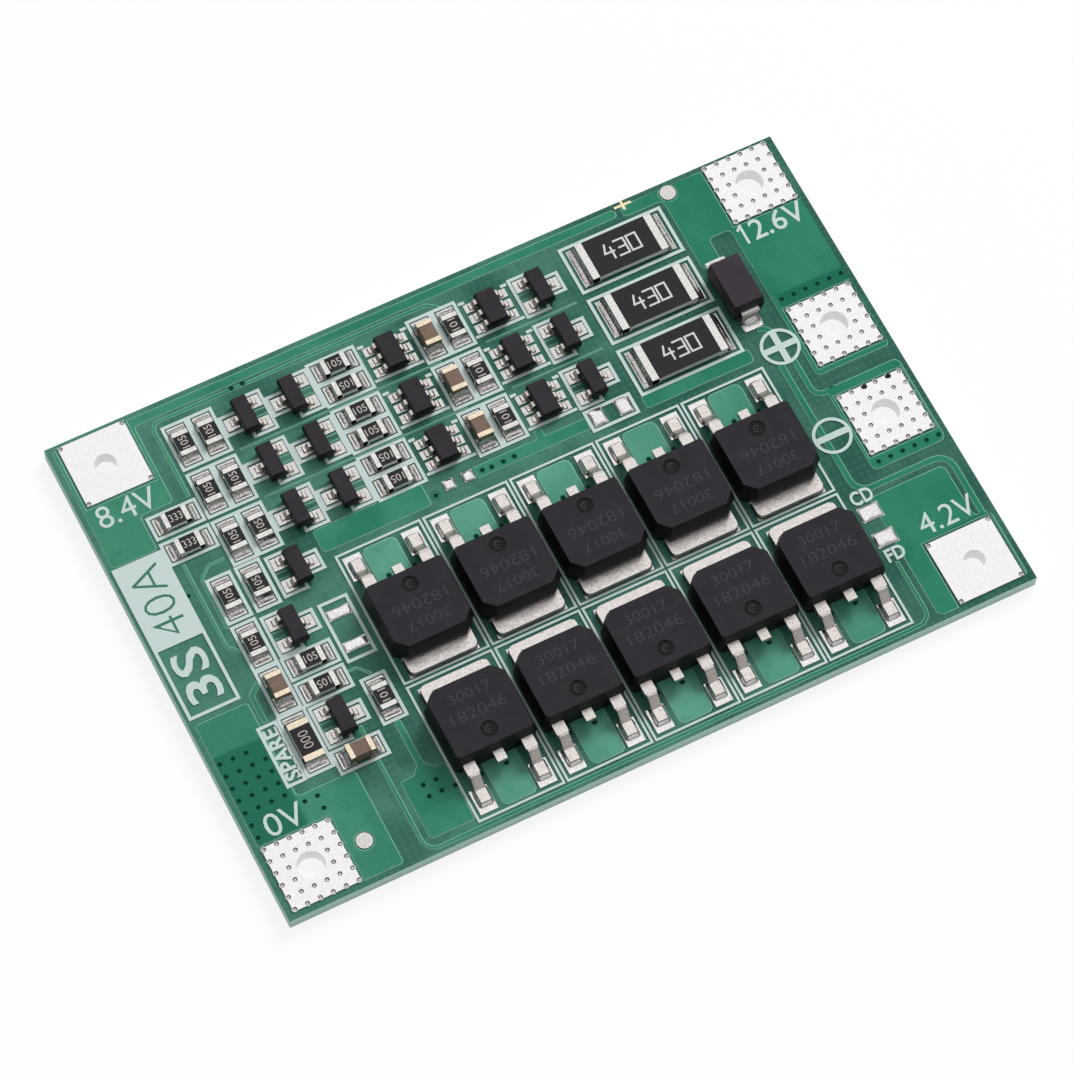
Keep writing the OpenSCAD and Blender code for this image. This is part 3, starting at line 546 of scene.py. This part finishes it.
def ringBand(form, centre, inner, outer, low, high, steps, start=0.0, sweep=2 * math.pi):
    closed = sweep > 6.28
    way = Vector((math.cos(start), math.sin(start), 0.0)) * mm
    corners = [(inner, low), (outer, low), (outer, high), (inner, high)]
    section = form.faces.new([form.verts.new(Vector((centre.x, centre.y, z)) + way * r) for r, z in corners])
    edges = list(section.edges)
    if closed:
        bmesh.ops.delete(form, geom=[section], context="FACES_ONLY")
    swept = edges if closed else [section] + edges + list(section.verts)
    bmesh.ops.spin(form, geom=swept, cent=(centre.x, centre.y, 0.0), axis=(0.0, 0.0, 1.0),
                   dvec=(0.0, 0.0, 0.0), angle=sweep, steps=steps, use_merge=closed)


def disc(form, centre, radius, low, high, steps=16, index=0):
    known = set(form.faces)
    verts = bmesh.ops.create_circle(form, cap_ends=True, segments=steps, radius=radius * mm)["verts"]
    faces = list({f for v in verts for f in v.link_faces})
    grown = bmesh.ops.extrude_face_region(form, geom=faces)
    lifted = [g for g in grown["geom"] if isinstance(g, bmesh.types.BMVert)]
    bmesh.ops.translate(form, verts=lifted, vec=(0.0, 0.0, high - low))
    bmesh.ops.translate(form, verts=verts + lifted, vec=(centre.x, centre.y, low))
    for face in form.faces:
        if face not in known:
            face.material_index = index


def powerBody(k):
    look = {"soft": 0.06, "sunk": 0.008, "pitR": 0.64, "pitDeep": 0.02}
    nodeName = f"mosfet_{k}_body"
    form = softenedForm(nodeName, look["soft"])
    low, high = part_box(nodeName)
    turn = 1.0 if k < 6 else -1.0
    pit = Vector(((low.x + high.x) / 2, (low.y + high.y) / 2 + turn * pitOffset * mm, high.z))
    for vert in form.verts:
        if vert.co.z > high.z - hair:
            vert.co.z -= look["sunk"] * mm  # leaves room for the etched figures
    for face in form.faces:
        spot = face.calc_center_median()
        if spot.z < high.z - look["pitDeep"] * mm and (spot - pit).to_2d().length < look["pitR"] * mm:
            face.material_index = 1
    finish(form, nodeName + "_soft", [powerEpoxy, pitEpoxy], 35.0, (nodeName,))


for k in range(1, 11):
    powerBody(k)
    softened(f"mosfet_{k}_leadframe", leadTin, 0.05, 2)
for k in range(1, 7):
    softened(f"monitor_ic_{k}_body", smallEpoxy, 0.04, 2)
    softened(f"monitor_ic_{k}_pins", leadTin, 0.02, 1)
softened("transistor_bodies", smallEpoxy, 0.04, 2)
softened("transistor_pins", leadTin, 0.02, 1)
softened("diode_body", diodeEpoxy, 0.07, 3)
softened("diode_leads", leadTin, 0.04, 2)
print("moulded packages done")

for k in range(1, 4):
    softened(f"balance_resistor_{k}_body", coat, 0.02, 1)
    softened(f"balance_resistor_{k}_caps", capTin, 0.05, 2)
softened("chip_resistor_bodies", coat, 0.015, 1)
softened("chip_resistor_caps", capTin, 0.04, 2)
softened("chip_capacitor_bodies", ceramic, 0.03, 1)
softened("chip_capacitor_caps", creamTin, 0.05, 2)
softened("link_body", coat, 0.015, 1)
softened("link_caps", creamTin, 0.04, 2)
print("chips done")


# Solder

def outward(way):
    alongX = abs(way.x) > abs(way.y)
    return alongX, math.copysign(1.0, way.x if alongX else way.y)


# Place and turn of a fillet that leans on one end of a box
def besideBox(low, high, across, alongX, sign, shift):
    end = high if sign > 0 else low
    if alongX:
        return Vector((end.x + sign * shift * mm, across.y, low.z - hair)), 0.0 if sign > 0 else math.pi
    return Vector((across.x, end.y + sign * shift * mm, low.z - hair)), sign * math.pi / 2


def solderAtCaps():
    look = {"reach": 0.5, "wide": 2, "wideReach": 1.15, "rise": 0.82, "most": 0.62, "side": 0.06,
            "film": 0.012, "lip": 0.07, "lipAt": 0.72, "lipHalf": 0.28}
    form = bmesh.new()
    count = 0
    pairs = [("chip_resistor_caps", "chip_resistor_bodies"), ("chip_capacitor_caps", "chip_capacitor_bodies"),
             ("link_caps", "link_body")]
    pairs += [(f"balance_resistor_{k}_caps", f"balance_resistor_{k}_body") for k in range(1, 4)]
    for capNode, bodyNode in pairs:
        caps = mergedCopy(capNode)
        bodies = mergedCopy(bodyNode)
        capBoxes = [boxOf(g) for g in islands(caps)]
        bodyMids = [(sum(boxOf(g), Vector())) / 2 for g in islands(bodies)]
        caps.free()
        bodies.free()
        for low, high in capBoxes:
            mid = (low + high) / 2
            owner = min(bodyMids, key=lambda b: (b - mid).length)
            alongX, sign = outward(mid - owner)
            size = high - low
            width = (size.y if alongX else size.x) / mm
            reach = look["reach"] * (look["wideReach"] if width > look["wide"] else 1.0)
            place, turn = besideBox(low, high, mid, alongX, sign, reach / 2)
            rim = min(size.z / mm * look["rise"], look["most"])
            def height(u, v, rim=rim):
                t = (u + 1) / 2
                fall = (1 - t) ** 2.6
                sides = 1 - 0.3 * abs(v) ** 3
                crest = max(0.0, 1 - ((t - look["lipAt"]) / look["lipHalf"]) ** 2)
                lip = look["lip"] * crest * (1 - abs(v) ** 4)
                return (rim * fall + lip) * sides + look["film"]
            heightForm(form, reach, width + look["side"], 13, 13, height, place, turn, inset=0.05)
            count += 1
    print("cap fillets:", count)
    finish(form, "chipSolder", chipSolder, 70.0, flatTops=False)


solderAtCaps()


def solderAtPins():
    look = {"reach": 0.17, "side": 0.16, "rise": 0.12, "foot": 0.2, "under": 0.02, "film": 0.01}
    form = bmesh.new()
    count = 0
    for nodeName in ["transistor_pins"] + [f"monitor_ic_{k}_pins" for k in range(1, 7)]:
        pins = mergedCopy(nodeName)
        for group in islands(pins):
            low, high = boxOf(group)
            footLow, footHigh = boxOf([v for v in group if v.co.z < low.z + look["foot"] * mm])
            foot = (footLow + footHigh) / 2
            alongX, sign = outward(foot - (low + high) / 2)
            width = ((footHigh.y - footLow.y) if alongX else (footHigh.x - footLow.x)) / mm
            place, turn = besideBox(low, high, foot, alongX, sign, look["reach"] / 2 - look["under"])
            def height(u, v):
                t = (u + 1) / 2
                return look["rise"] * (1 - t) ** 2 * (1 - 0.5 * abs(v) ** 3) + look["film"]
            heightForm(form, look["reach"], width + look["side"], 7, 9, height, place, turn, inset=0.05)
            count += 1
        pins.free()
    print("pin fillets:", count)
    finish(form, "pinSolder", solder, 70.0, flatTops=False)


solderAtPins()


def wetLands():
    look = {"footWide": 0.78, "footAhead": 0.35, "footBehind": -0.75, "land": (1.36, 1.96), "rise": 0.3,
            "spread": 0.34, "floor": 0.014, "film": 0.008, "outward": 0.05, "plateWide": 2}
    form = bmesh.new()
    for k in range(1, 11):
        frameForm = mergedCopy(f"mosfet_{k}_leadframe")
        for group in islands(frameForm):
            low, high = boxOf(group)
            if high.x - low.x > look["plateWide"] * mm:
                continue  # the tab's plate
            bodyLow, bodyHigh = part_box(f"mosfet_{k}_body")
            sign = 1.0 if low.y > (bodyLow.y + bodyHigh.y) / 2 else -1.0
            toe = high.y if sign > 0 else low.y
            mid = (low.x + high.x) / 2
            aside = math.copysign(look["outward"], mid - (bodyLow.x + bodyHigh.x) / 2) * mm
            place = Vector((mid + aside, toe - sign * look["footAhead"] * mm, low.z - hair))
            footX = -aside / mm * sign  # the foot's middle, seen from the land's middle
            def height(u, v):
                px = u * look["land"][0] / 2
                py = v * look["land"][1] / 2
                away = max(abs(px - footX) - look["footWide"] / 2, 0.0)
                ahead = max(py - look["footAhead"], look["footBehind"] - py, 0.0)
                d = math.hypot(away, ahead)
                rise = look["rise"] * max(0.0, 1 - d / look["spread"]) ** 2.2
                edge = (1 - abs(u) ** 6) * (1 - abs(v) ** 6)
                return (rise + look["floor"]) * edge + look["film"]
            turn = 0.0 if sign > 0 else math.pi
            heightForm(form, *look["land"], 27, 31, height, place, turn)
        frameForm.free()
    finish(form, "leadSolder", solder, 70.0, flatTops=False)


wetLands()


def diodeSolder():
    look = {"wide": 1.4, "reach": 0.75, "rise": 0.5, "lip": 0.05, "film": 0.012, "under": 0.02}
    low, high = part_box("diode_leads")
    mid = (low + high) / 2
    form = bmesh.new()
    def height(u, v):
        t = (u + 1) / 2
        waist = 1 - 0.45 * abs(v) ** 2.5
        return (look["rise"] * (1 - t) ** 2.2 + look["lip"] * (1 - t ** 4)) * waist + look["film"]
    for sign in (1.0, -1.0):
        y = (high.y if sign > 0 else low.y) + sign * (look["reach"] / 2 - look["under"]) * mm
        place = Vector((mid.x, y, low.z - hair))
        heightForm(form, look["reach"], look["wide"], 15, 15, height, place, sign * math.pi / 2, inset=0.06)
    finish(form, "diodeSolder", solder, 70.0, flatTops=False)


diodeSolder()


def tabSolder():
    look = {"half": 2.7, "corner": 0.45, "reach": 1.1, "inside": 0.35, "sunk": 0.002,
            "steps": [(-0.02, 0.3), (0.022, 0.12), (0.078, 0.008)]}  # distance out from the tab, height
    half, c, steps = look["half"], look["corner"], look["steps"]
    form = bmesh.new()
    for k in range(1, 11):
        low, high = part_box(f"mosfet_{k}_body")
        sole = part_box(f"mosfet_{k}_leadframe")[0].z
        turn = 0.0 if k < 6 else math.pi
        end = -(high.y - low.y) / 2 / mm
        far = end - look["reach"]
        path = [(-half, end + look["inside"], (-1, 0))]
        for i in range(5):
            a = math.pi + math.pi / 2 * i / 4
            path.append((-half + c + c * math.cos(a), far + c + c * math.sin(a), (math.cos(a), math.sin(a))))
        path += [(-x, y, (-n[0], n[1])) for x, y, n in reversed(path)]
        grid = bmesh.ops.create_grid(form, x_segments=len(path) - 1, y_segments=len(steps) - 1, size=0.5)
        strip = grid["verts"]
        for vert in strip:
            x, y, n = path[round((vert.co.x + 0.5) * (len(path) - 1))]
            out, rise = steps[round((vert.co.y + 0.5) * (len(steps) - 1))]
            vert.co = Vector((x + n[0] * out, y + n[1] * out, rise)) * mm
        grown = bmesh.ops.extrude_face_region(form, geom=list({f for v in strip for f in v.link_faces}))
        soles = [g for g in grown["geom"] if isinstance(g, bmesh.types.BMVert)]
        for vert in soles:
            vert.co.z = -look["sunk"] * mm
        mid = (low + high) / 2
        bmesh.ops.transform(form, matrix=placed(Vector((mid.x, mid.y, sole)), turn), verts=strip + soles)
    finish(form, "tabSolder", shadedEdgeSolder, 50.0, flatTops=False)


tabSolder()


def viaMarks():
    look = {"dot": 0.17, "wall": 0.06, "rim": 0.3, "rimWide": 0.1, "sunk": 0.002, "dotRise": 0.004,
            "wallRise": 0.007, "rimRise": 0.012, "copper": 0.04, "rowX": 24.2, "rowsY": (7.8, -7.2),
            "field": (-29.25, -7.6), "fieldStep": (1.03, -1.04), "columns": (-11.4, -4.35, 2.7, 9.75, 16.8),
            "byColumn": ((-0.55, 0.38), (0.4, -16.45)), "bareByColumn": ((1.5, 0.35), (-1.55, -16.45)),
            "byWords": [(-29.25, -12.8), (-29.25, -13.84), (-25.1, -12.8), (-24.1, -12.8), (-24.1, -13.84)],
            "byRow": [(-17.05, -15.4), (-16.05, -15.4), (-17.05, -16.35), (-16.05, -16.35), (-15.0, -16.4)],
            "middle": [(-2.1, 4.97), (-1.37, 4.9), (-0.42, 4.93), (0.5, 4.95)],
            "topEdge": [(-15.6, 19.1), (-14.7, 19.1)], "bare": [(-25.6, 5.3)], "ringed": [(-6.05, 4.65)],
            "open": [(26.2, -1.35), (28.2, -1.35)], "openR": 0.21, "openRise": (0.099, 0.104)}
    startX, startY = look["field"]
    stepX, stepY = look["fieldStep"]
    dots = [(look["rowX"] + i, y) for y in look["rowsY"] for i in range(6)]
    dots += [(startX + stepX * i, startY + stepY * j) for i in range(4) for j in range(5) if (i, j) != (3, 0)]
    dots += look["byWords"] + look["byRow"] + look["middle"] + look["topEdge"]
    dots += [(x + dx, y) for x in look["columns"] for dx, y in look["byColumn"]]
    bare = look["bare"] + [(x + dx, y) for x in look["columns"] for dx, y in look["bareByColumn"]]
    onCopper = faceZ + look["copper"] * mm
    form = bmesh.new()
    for spots, base, ringed in ((dots, onCopper, False), (bare, faceZ, False), (look["ringed"], faceZ, True)):
        low = base - look["sunk"] * mm
        for x, y in spots:
            centre = Vector((x * mm, y * mm, 0.0))
            disc(form, centre, look["dot"], low, base + look["dotRise"] * mm, index=1)
            wall = look["dot"] + look["wall"]
            ringBand(form, centre, look["dot"], wall, low, base + look["wallRise"] * mm, 16)
            if ringed:
                outside = look["rim"] + look["rimWide"]
                ringBand(form, centre, look["rim"], outside, low, base + look["rimRise"] * mm, 20)
    finish(form, "viaMarks", [viaRim, viaShade], 30.0)
    form = bmesh.new()
    low, high = (faceZ + rise * mm for rise in look["openRise"])
    for x, y in look["open"]:
        disc(form, Vector((x * mm, y * mm, 0.0)), look["openR"], low, high)
    finish(form, "openVias", openViaShade, 30.0)


viaMarks()


def openPadSolder():
    look = {"rise": 0.16, "least": 0.82, "round": 1.1, "edge": 0.02, "film": 0.01}
    form = mergedCopy("test_pads")
    groups = [boxOf(g) for g in islands(form)]
    form.free()
    made = bmesh.new()
    for low, high in groups:
        size = (high - low) / mm
        if min(size.x, size.y) < look["least"]:
            continue
        if abs(size.x - size.y) < look["edge"] and size.x > look["round"]:
            continue  # the round marks stay flat
        mid = (low + high) / 2
        rise = look["rise"] * min(size.x, size.y)
        def height(u, v, rise=rise):
            return rise * ((1 - abs(u) ** 2.2) * (1 - abs(v) ** 2.2)) ** 0.7 + look["film"]
        place = Vector((mid.x, mid.y, high.z - hair))
        heightForm(made, size.x - look["edge"], size.y - look["edge"], 17, 17, height, place, inset=0.12)
    finish(made, "padSolder", solder, 70.0, flatTops=False)


openPadSolder()
print("solder done")


# Lettering

def lettering(text, weight=0.0):
    curve = bpy.data.curves.new("letters", "FONT")
    curve.body = text
    curve.size = 1.0
    curve.offset = weight
    curve.resolution_u = 3
    holder = bpy.data.objects.new("letters", curve)
    bpy.context.scene.collection.objects.link(holder)
    bpy.context.view_layer.update()
    mesh = bpy.data.meshes.new_from_object(holder.evaluated_get(bpy.context.evaluated_depsgraph_get()))
    bpy.data.objects.remove(holder)
    bpy.data.curves.remove(curve)
    return mesh


def stamp(form, text, centre, size, turn, low, high, weight=0.0):
    mesh = lettering(text, weight)
    before = set(form.verts)
    form.from_mesh(mesh)
    bpy.data.meshes.remove(mesh)
    verts = [v for v in form.verts if v not in before]
    bmesh.ops.remove_doubles(form, verts=verts, dist=1e-5)
    verts = [v for v in form.verts if v not in before]
    a, b = boxOf(verts)
    span = b - a
    faces = list({f for v in verts for f in v.link_faces})
    for vert in verts:
        vert.co = Vector(((vert.co.x - (a.x + b.x) / 2) / span.x * size[0] * mm,
                          (vert.co.y - (a.y + b.y) / 2) / span.y * size[1] * mm, low))
    grown = bmesh.ops.extrude_face_region(form, geom=faces)
    lifted = [g for g in grown["geom"] if isinstance(g, bmesh.types.BMVert)]
    for vert in lifted:
        vert.co.z = high
    move = placed(Vector((centre[0] * mm, centre[1] * mm, 0.0)), math.radians(turn))
    bmesh.ops.transform(form, matrix=move, verts=verts + lifted)


def bar(form, a, b, thick, low, tall):
    run = Vector((b[0] - a[0], b[1] - a[1]))
    size = Vector(((run.length + thick) * mm, thick * mm, tall))
    place = Vector(((a[0] + b[0]) / 2 * mm, (a[1] + b[1]) / 2 * mm, low + tall / 2))
    made = bmesh.ops.create_cube(form, size=1.0)
    move = placed(place, math.atan2(run.y, run.x)) @ Matrix.Diagonal((*size, 1.0))
    bmesh.ops.transform(form, matrix=move, verts=made["verts"])


def boardLabels():
    look = {"level": {"8.4V": (-28.9, -24.3, 12.75, 14.55, 0.0), "2.6V": (24.85, 29.25, 13.0, 14.75, 0.008),
                      "4.2V": (24.3, 28.8, -14.05, -12.3, 0.0), "0V": (-28.5, -25.55, -14.3, -12.5, 0.0),
                      "CD": (20.8, 22.55, -9.75, -8.55, 0.03), "FD": (20.95, 22.45, -14.8, -13.7, 0.03)},
            "upwards": {"SPARE": (-24.97, -8.83, 4.3, 1.2, 0.03), "3S": (-27.75, -0.6, 4.3, 2.65, 0.015)},
            "stem": ((24.27, 13.1), (24.27, 14.64), 0.21), "flag": ((23.98, 14.36), (24.24, 14.6), 0.2),
            "flagSunk": 0.002, "rating": ("40A", (-27.75, 5.85), (5.9, 2.4)), "ratingRise": 0.004,
            "ratingWeight": -0.018}
    form = bmesh.new()
    for text, (x0, x1, y0, y1, weight) in look["level"].items():
        stamp(form, text, ((x0 + x1) / 2, (y0 + y1) / 2), (x1 - x0, y1 - y0), 0, printZ, printTop, weight)
    bar(form, *look["stem"], printZ, printTop - printZ)  # the one before 2.6V, then its flag
    bar(form, *look["flag"], printZ, printTop - printZ - look["flagSunk"] * mm)
    for text, (x, y, long, tall, weight) in look["upwards"].items():
        stamp(form, text, (x, y), (long, tall), 90, printZ, printTop, weight)
    finish(form, "boardLabels", legend, 30.0)
    form = bmesh.new()
    stamp(form, *look["rating"], 90, printTop, printTop + look["ratingRise"] * mm, look["ratingWeight"])
    finish(form, "ratingFigures", printGreen, 30.0)


boardLabels()


def chipFigures():
    look = {"lift": 0.006, "size": (1.0, 0.62), "weight": 0.004, "linkSize": (1.4, 0.76),
            "linkWeight": -0.008, "upsideDown": ((-8.3, 15.6), (-8.3, 9.2), (-8.3, 7.2), (-19.7, -5.6)),
            "near": 0.8}
    form = bmesh.new()
    turned = 0
    bodies = mergedCopy("chip_resistor_bodies")
    for group in islands(bodies):
        low, high = boxOf(group)
        mid = (low + high) / 2
        alongY = high.y - low.y > high.x - low.x
        x, y = mid.x / mm, mid.y / mm
        text = "105"
        if x < -22.5 and y > 7:
            text = "333"
        elif alongY and (x > 0 or (x > -20 and y < -5)):
            text = "101"
        flipped = any(math.hypot(x - a, y - b) < look["near"] for a, b in look["upsideDown"])
        turn = 90 if alongY else 180 * flipped
        stamp(form, text, (x, y), look["size"], turn, high.z, high.z + look["lift"] * mm, look["weight"])
        turned += flipped
    bodies.free()
    low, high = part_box("link_body")
    mid = (low + high) / 2
    stamp(form, "000", (mid.x / mm, mid.y / mm), look["linkSize"], 90, high.z, high.z + look["lift"] * mm,
          look["linkWeight"])
    print("chip figures upside down:", turned)
    finish(form, "chipFigures", chipInk, 30.0)


chipFigures()


def balanceFigures():
    look = {"tall": 1.3, "wide": 0.76, "step": 1.02, "stroke": 0.15, "lift": 0.008, "apart": 1e-7}
    w, h = look["wide"] / 2, look["tall"] / 2
    corners = [(-w, h), (w, h), (w, -h), (-w, -h)]
    around = list(zip(corners, corners[1:] + corners[:1]))
    elbow = (-w, -h * 0.1)
    four = [((-w * 0.35, h), elbow), (elbow, (w, -h * 0.1)), ((w * 0.55, h * 0.45), (w * 0.55, -h))]
    form = bmesh.new()
    for k in range(1, 4):
        low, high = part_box(f"balance_resistor_{k}_body")
        mid = (low + high) / 2
        level = 0
        for i, strokes in enumerate((four, around[:3] + [((-w * 0.5, 0), (w, 0))], around)):  # 4, 3, 0
            x, y = mid.x / mm + (i - 1) * look["step"], mid.y / mm
            for a, b in strokes:
                level += 1  # no two bars end at one height
                tall = look["lift"] * mm + level * look["apart"]
                bar(form, (x + a[0], y + a[1]), (x + b[0], y + b[1]), look["stroke"], high.z, tall)
    finish(form, "balanceFigures", digitInk, 30.0)


balanceFigures()


def etchedFigures():
    look = {"rows": [("182046", 0.0, (4.3, 0.86)), ("30017", -1.5, (3.3, 0.8))], "weight": -0.008,
            "sunk": (0.009, 0.001), "pinArc": (0.22, 0.3), "pinDot": 0.07, "pinSunk": (0.081, 0.05),
            "pinStart": 0.6, "pinSweep": 4.2}
    form = bmesh.new()
    for k in range(1, 11):
        low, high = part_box(f"mosfet_{k}_body")
        mid = (low + high) / 2
        turn = 1.0 if k < 6 else -1.0
        bottom, top = (high.z - depth * mm for depth in look["sunk"])
        for text, along, size in look["rows"]:
            centre = (mid.x / mm, mid.y / mm + turn * along)
            stamp(form, text, centre, size, 180 if turn > 0 else 0, bottom, top, look["weight"])
        pit = Vector((mid.x, mid.y + turn * pitOffset * mm, 0.0))
        bottom, top = (high.z - depth * mm for depth in look["pinSunk"])
        ringBand(form, pit, *look["pinArc"], bottom, top, 20, look["pinStart"], look["pinSweep"])
        disc(form, pit, look["pinDot"], bottom, top, 8)
    finish(form, "etchedFigures", laserInk, 30.0)


etchedFigures()
print("lettering done")


# Floor, light and camera

def floorPiece():
    look = {"side": 3.0, "below": 0.02, "shade": 0.86, "glow": 0.84}
    form = bmesh.new()
    bmesh.ops.create_grid(form, x_segments=1, y_segments=1, size=look["side"] / 2)
    mesh = bpy.data.meshes.new("floor")
    form.to_mesh(mesh)
    form.free()
    floor = bpy.data.objects.new("floor", mesh)
    floor.location.z = -look["below"] * mm
    bpy.context.scene.collection.objects.link(floor)
    material, tree = newTree("paleFloor")
    rays = addNode(tree, "ShaderNodeLightPath")
    seen = maths(tree, "MAXIMUM", rays.outputs["Is Camera Ray"],
                 maths(tree, "MAXIMUM", rays.outputs["Is Glossy Ray"], rays.outputs["Is Transmission Ray"]))
    plain = addNode(tree, "ShaderNodeBsdfDiffuse", {"Color": (look["shade"],) * 3 + (1.0,)})
    weak = addNode(tree, "ShaderNodeBsdfDiffuse", {"Color": (1.0 - look["glow"],) * 3 + (1.0,)})
    glow = addNode(tree, "ShaderNodeEmission", {"Color": (1.0, 1.0, 1.0, 1.0), "Strength": look["glow"]})
    both = addNode(tree, "ShaderNodeAddShader", {0: weak.outputs[0], 1: glow.outputs[0]})
    final = addNode(tree, "ShaderNodeMixShader", {0: seen, 1: plain.outputs[0], 2: both.outputs[0]})
    addNode(tree, "ShaderNodeOutputMaterial", {0: final.outputs[0]})
    mesh.materials.append(material)


floorPiece()


def worldLight():
    look = {"bright": 0.56, "dim": 0.20, "toward": (0.45, 0.5, 0.74), "above": (0.22, 0.38, 0.9),
            "gloom": 0.12, "overhead": 1.1, "front": (0.2, -0.97, 0.1), "frontLight": 0.45}
    world = bpy.data.worlds.new("studio")
    bpy.context.scene.world = world
    world.use_nodes = True
    tree = world.node_tree
    tree.nodes.clear()
    rays = addNode(tree, "ShaderNodeLightPath")
    way = addNode(tree, "ShaderNodeTexCoord").outputs["Generated"]
    def facing(aim):
        values = {0: way, 1: Vector(aim).normalized()}
        return addNode(tree, "ShaderNodeVectorMath", values, operation="DOT_PRODUCT").outputs["Value"]
    level = spread(tree, facing(look["toward"]), -0.7, 0.9, look["dim"], look["bright"])
    ceiling = spread(tree, facing(look["above"]), 0.35, 0.9, look["gloom"], look["overhead"])
    front = spread(tree, facing(look["front"]), 0.7, 0.98, 0.0, look["frontLight"])
    values = {0: rays.outputs["Is Glossy Ray"], 2: level, 3: maths(tree, "ADD", ceiling, front)}
    shade = addNode(tree, "ShaderNodeMix", values, data_type="FLOAT").outputs[0]
    seen = maths(tree, "MAXIMUM", rays.outputs["Is Camera Ray"], rays.outputs["Is Transmission Ray"])
    strength = addNode(tree, "ShaderNodeMix", {0: seen, 2: shade, 3: 1.0}, data_type="FLOAT").outputs[0]
    back = addNode(tree, "ShaderNodeBackground", {"Color": (1.0, 1.0, 1.0, 1.0), "Strength": strength})
    addNode(tree, "ShaderNodeOutputWorld", {0: back.outputs[0]})


worldLight()


def keyLamp():
    look = {"place": (0.62, 0.42, 0.66), "size": 0.5, "power": 7.1}
    lamp = bpy.data.lights.new("keyLamp", "AREA")
    lamp.shape = "DISK"
    lamp.size = look["size"]
    lamp.energy = look["power"]
    holder = bpy.data.objects.new("keyLamp", lamp)
    holder.location = look["place"]
    holder.visible_glossy = False  # metal shows the world's ceiling instead
    holder.rotation_mode = "QUATERNION"
    holder.rotation_quaternion = (-Vector(look["place"])).to_track_quat("-Z", "Y")
    bpy.context.scene.collection.objects.link(holder)


keyLamp()


def cameraPiece():
    look = {"place": (-82.75, -141.48, 336.52), "forward": (0.21957, 0.37562, -0.90039),
            "right": (0.89044, -0.45426, 0.02764), "lens": 172.4}
    camera = bpy.data.cameras.new("camera")
    camera.lens = look["lens"]
    camera.sensor_width = 36.0
    camera.clip_start = 0.01
    camera.clip_end = 10.0
    holder = bpy.data.objects.new("camera", camera)
    forward = Vector(look["forward"]).normalized()
    right = Vector(look["right"]).normalized()
    up = right.cross(forward)
    turn = Matrix((right, up, -forward)).transposed()
    holder.matrix_world = Matrix.Translation(Vector(look["place"]) * mm) @ turn.to_4x4()
    bpy.context.scene.collection.objects.link(holder)
    bpy.context.scene.camera = holder


cameraPiece()
bpy.context.scene.view_settings.view_transform = "Standard"
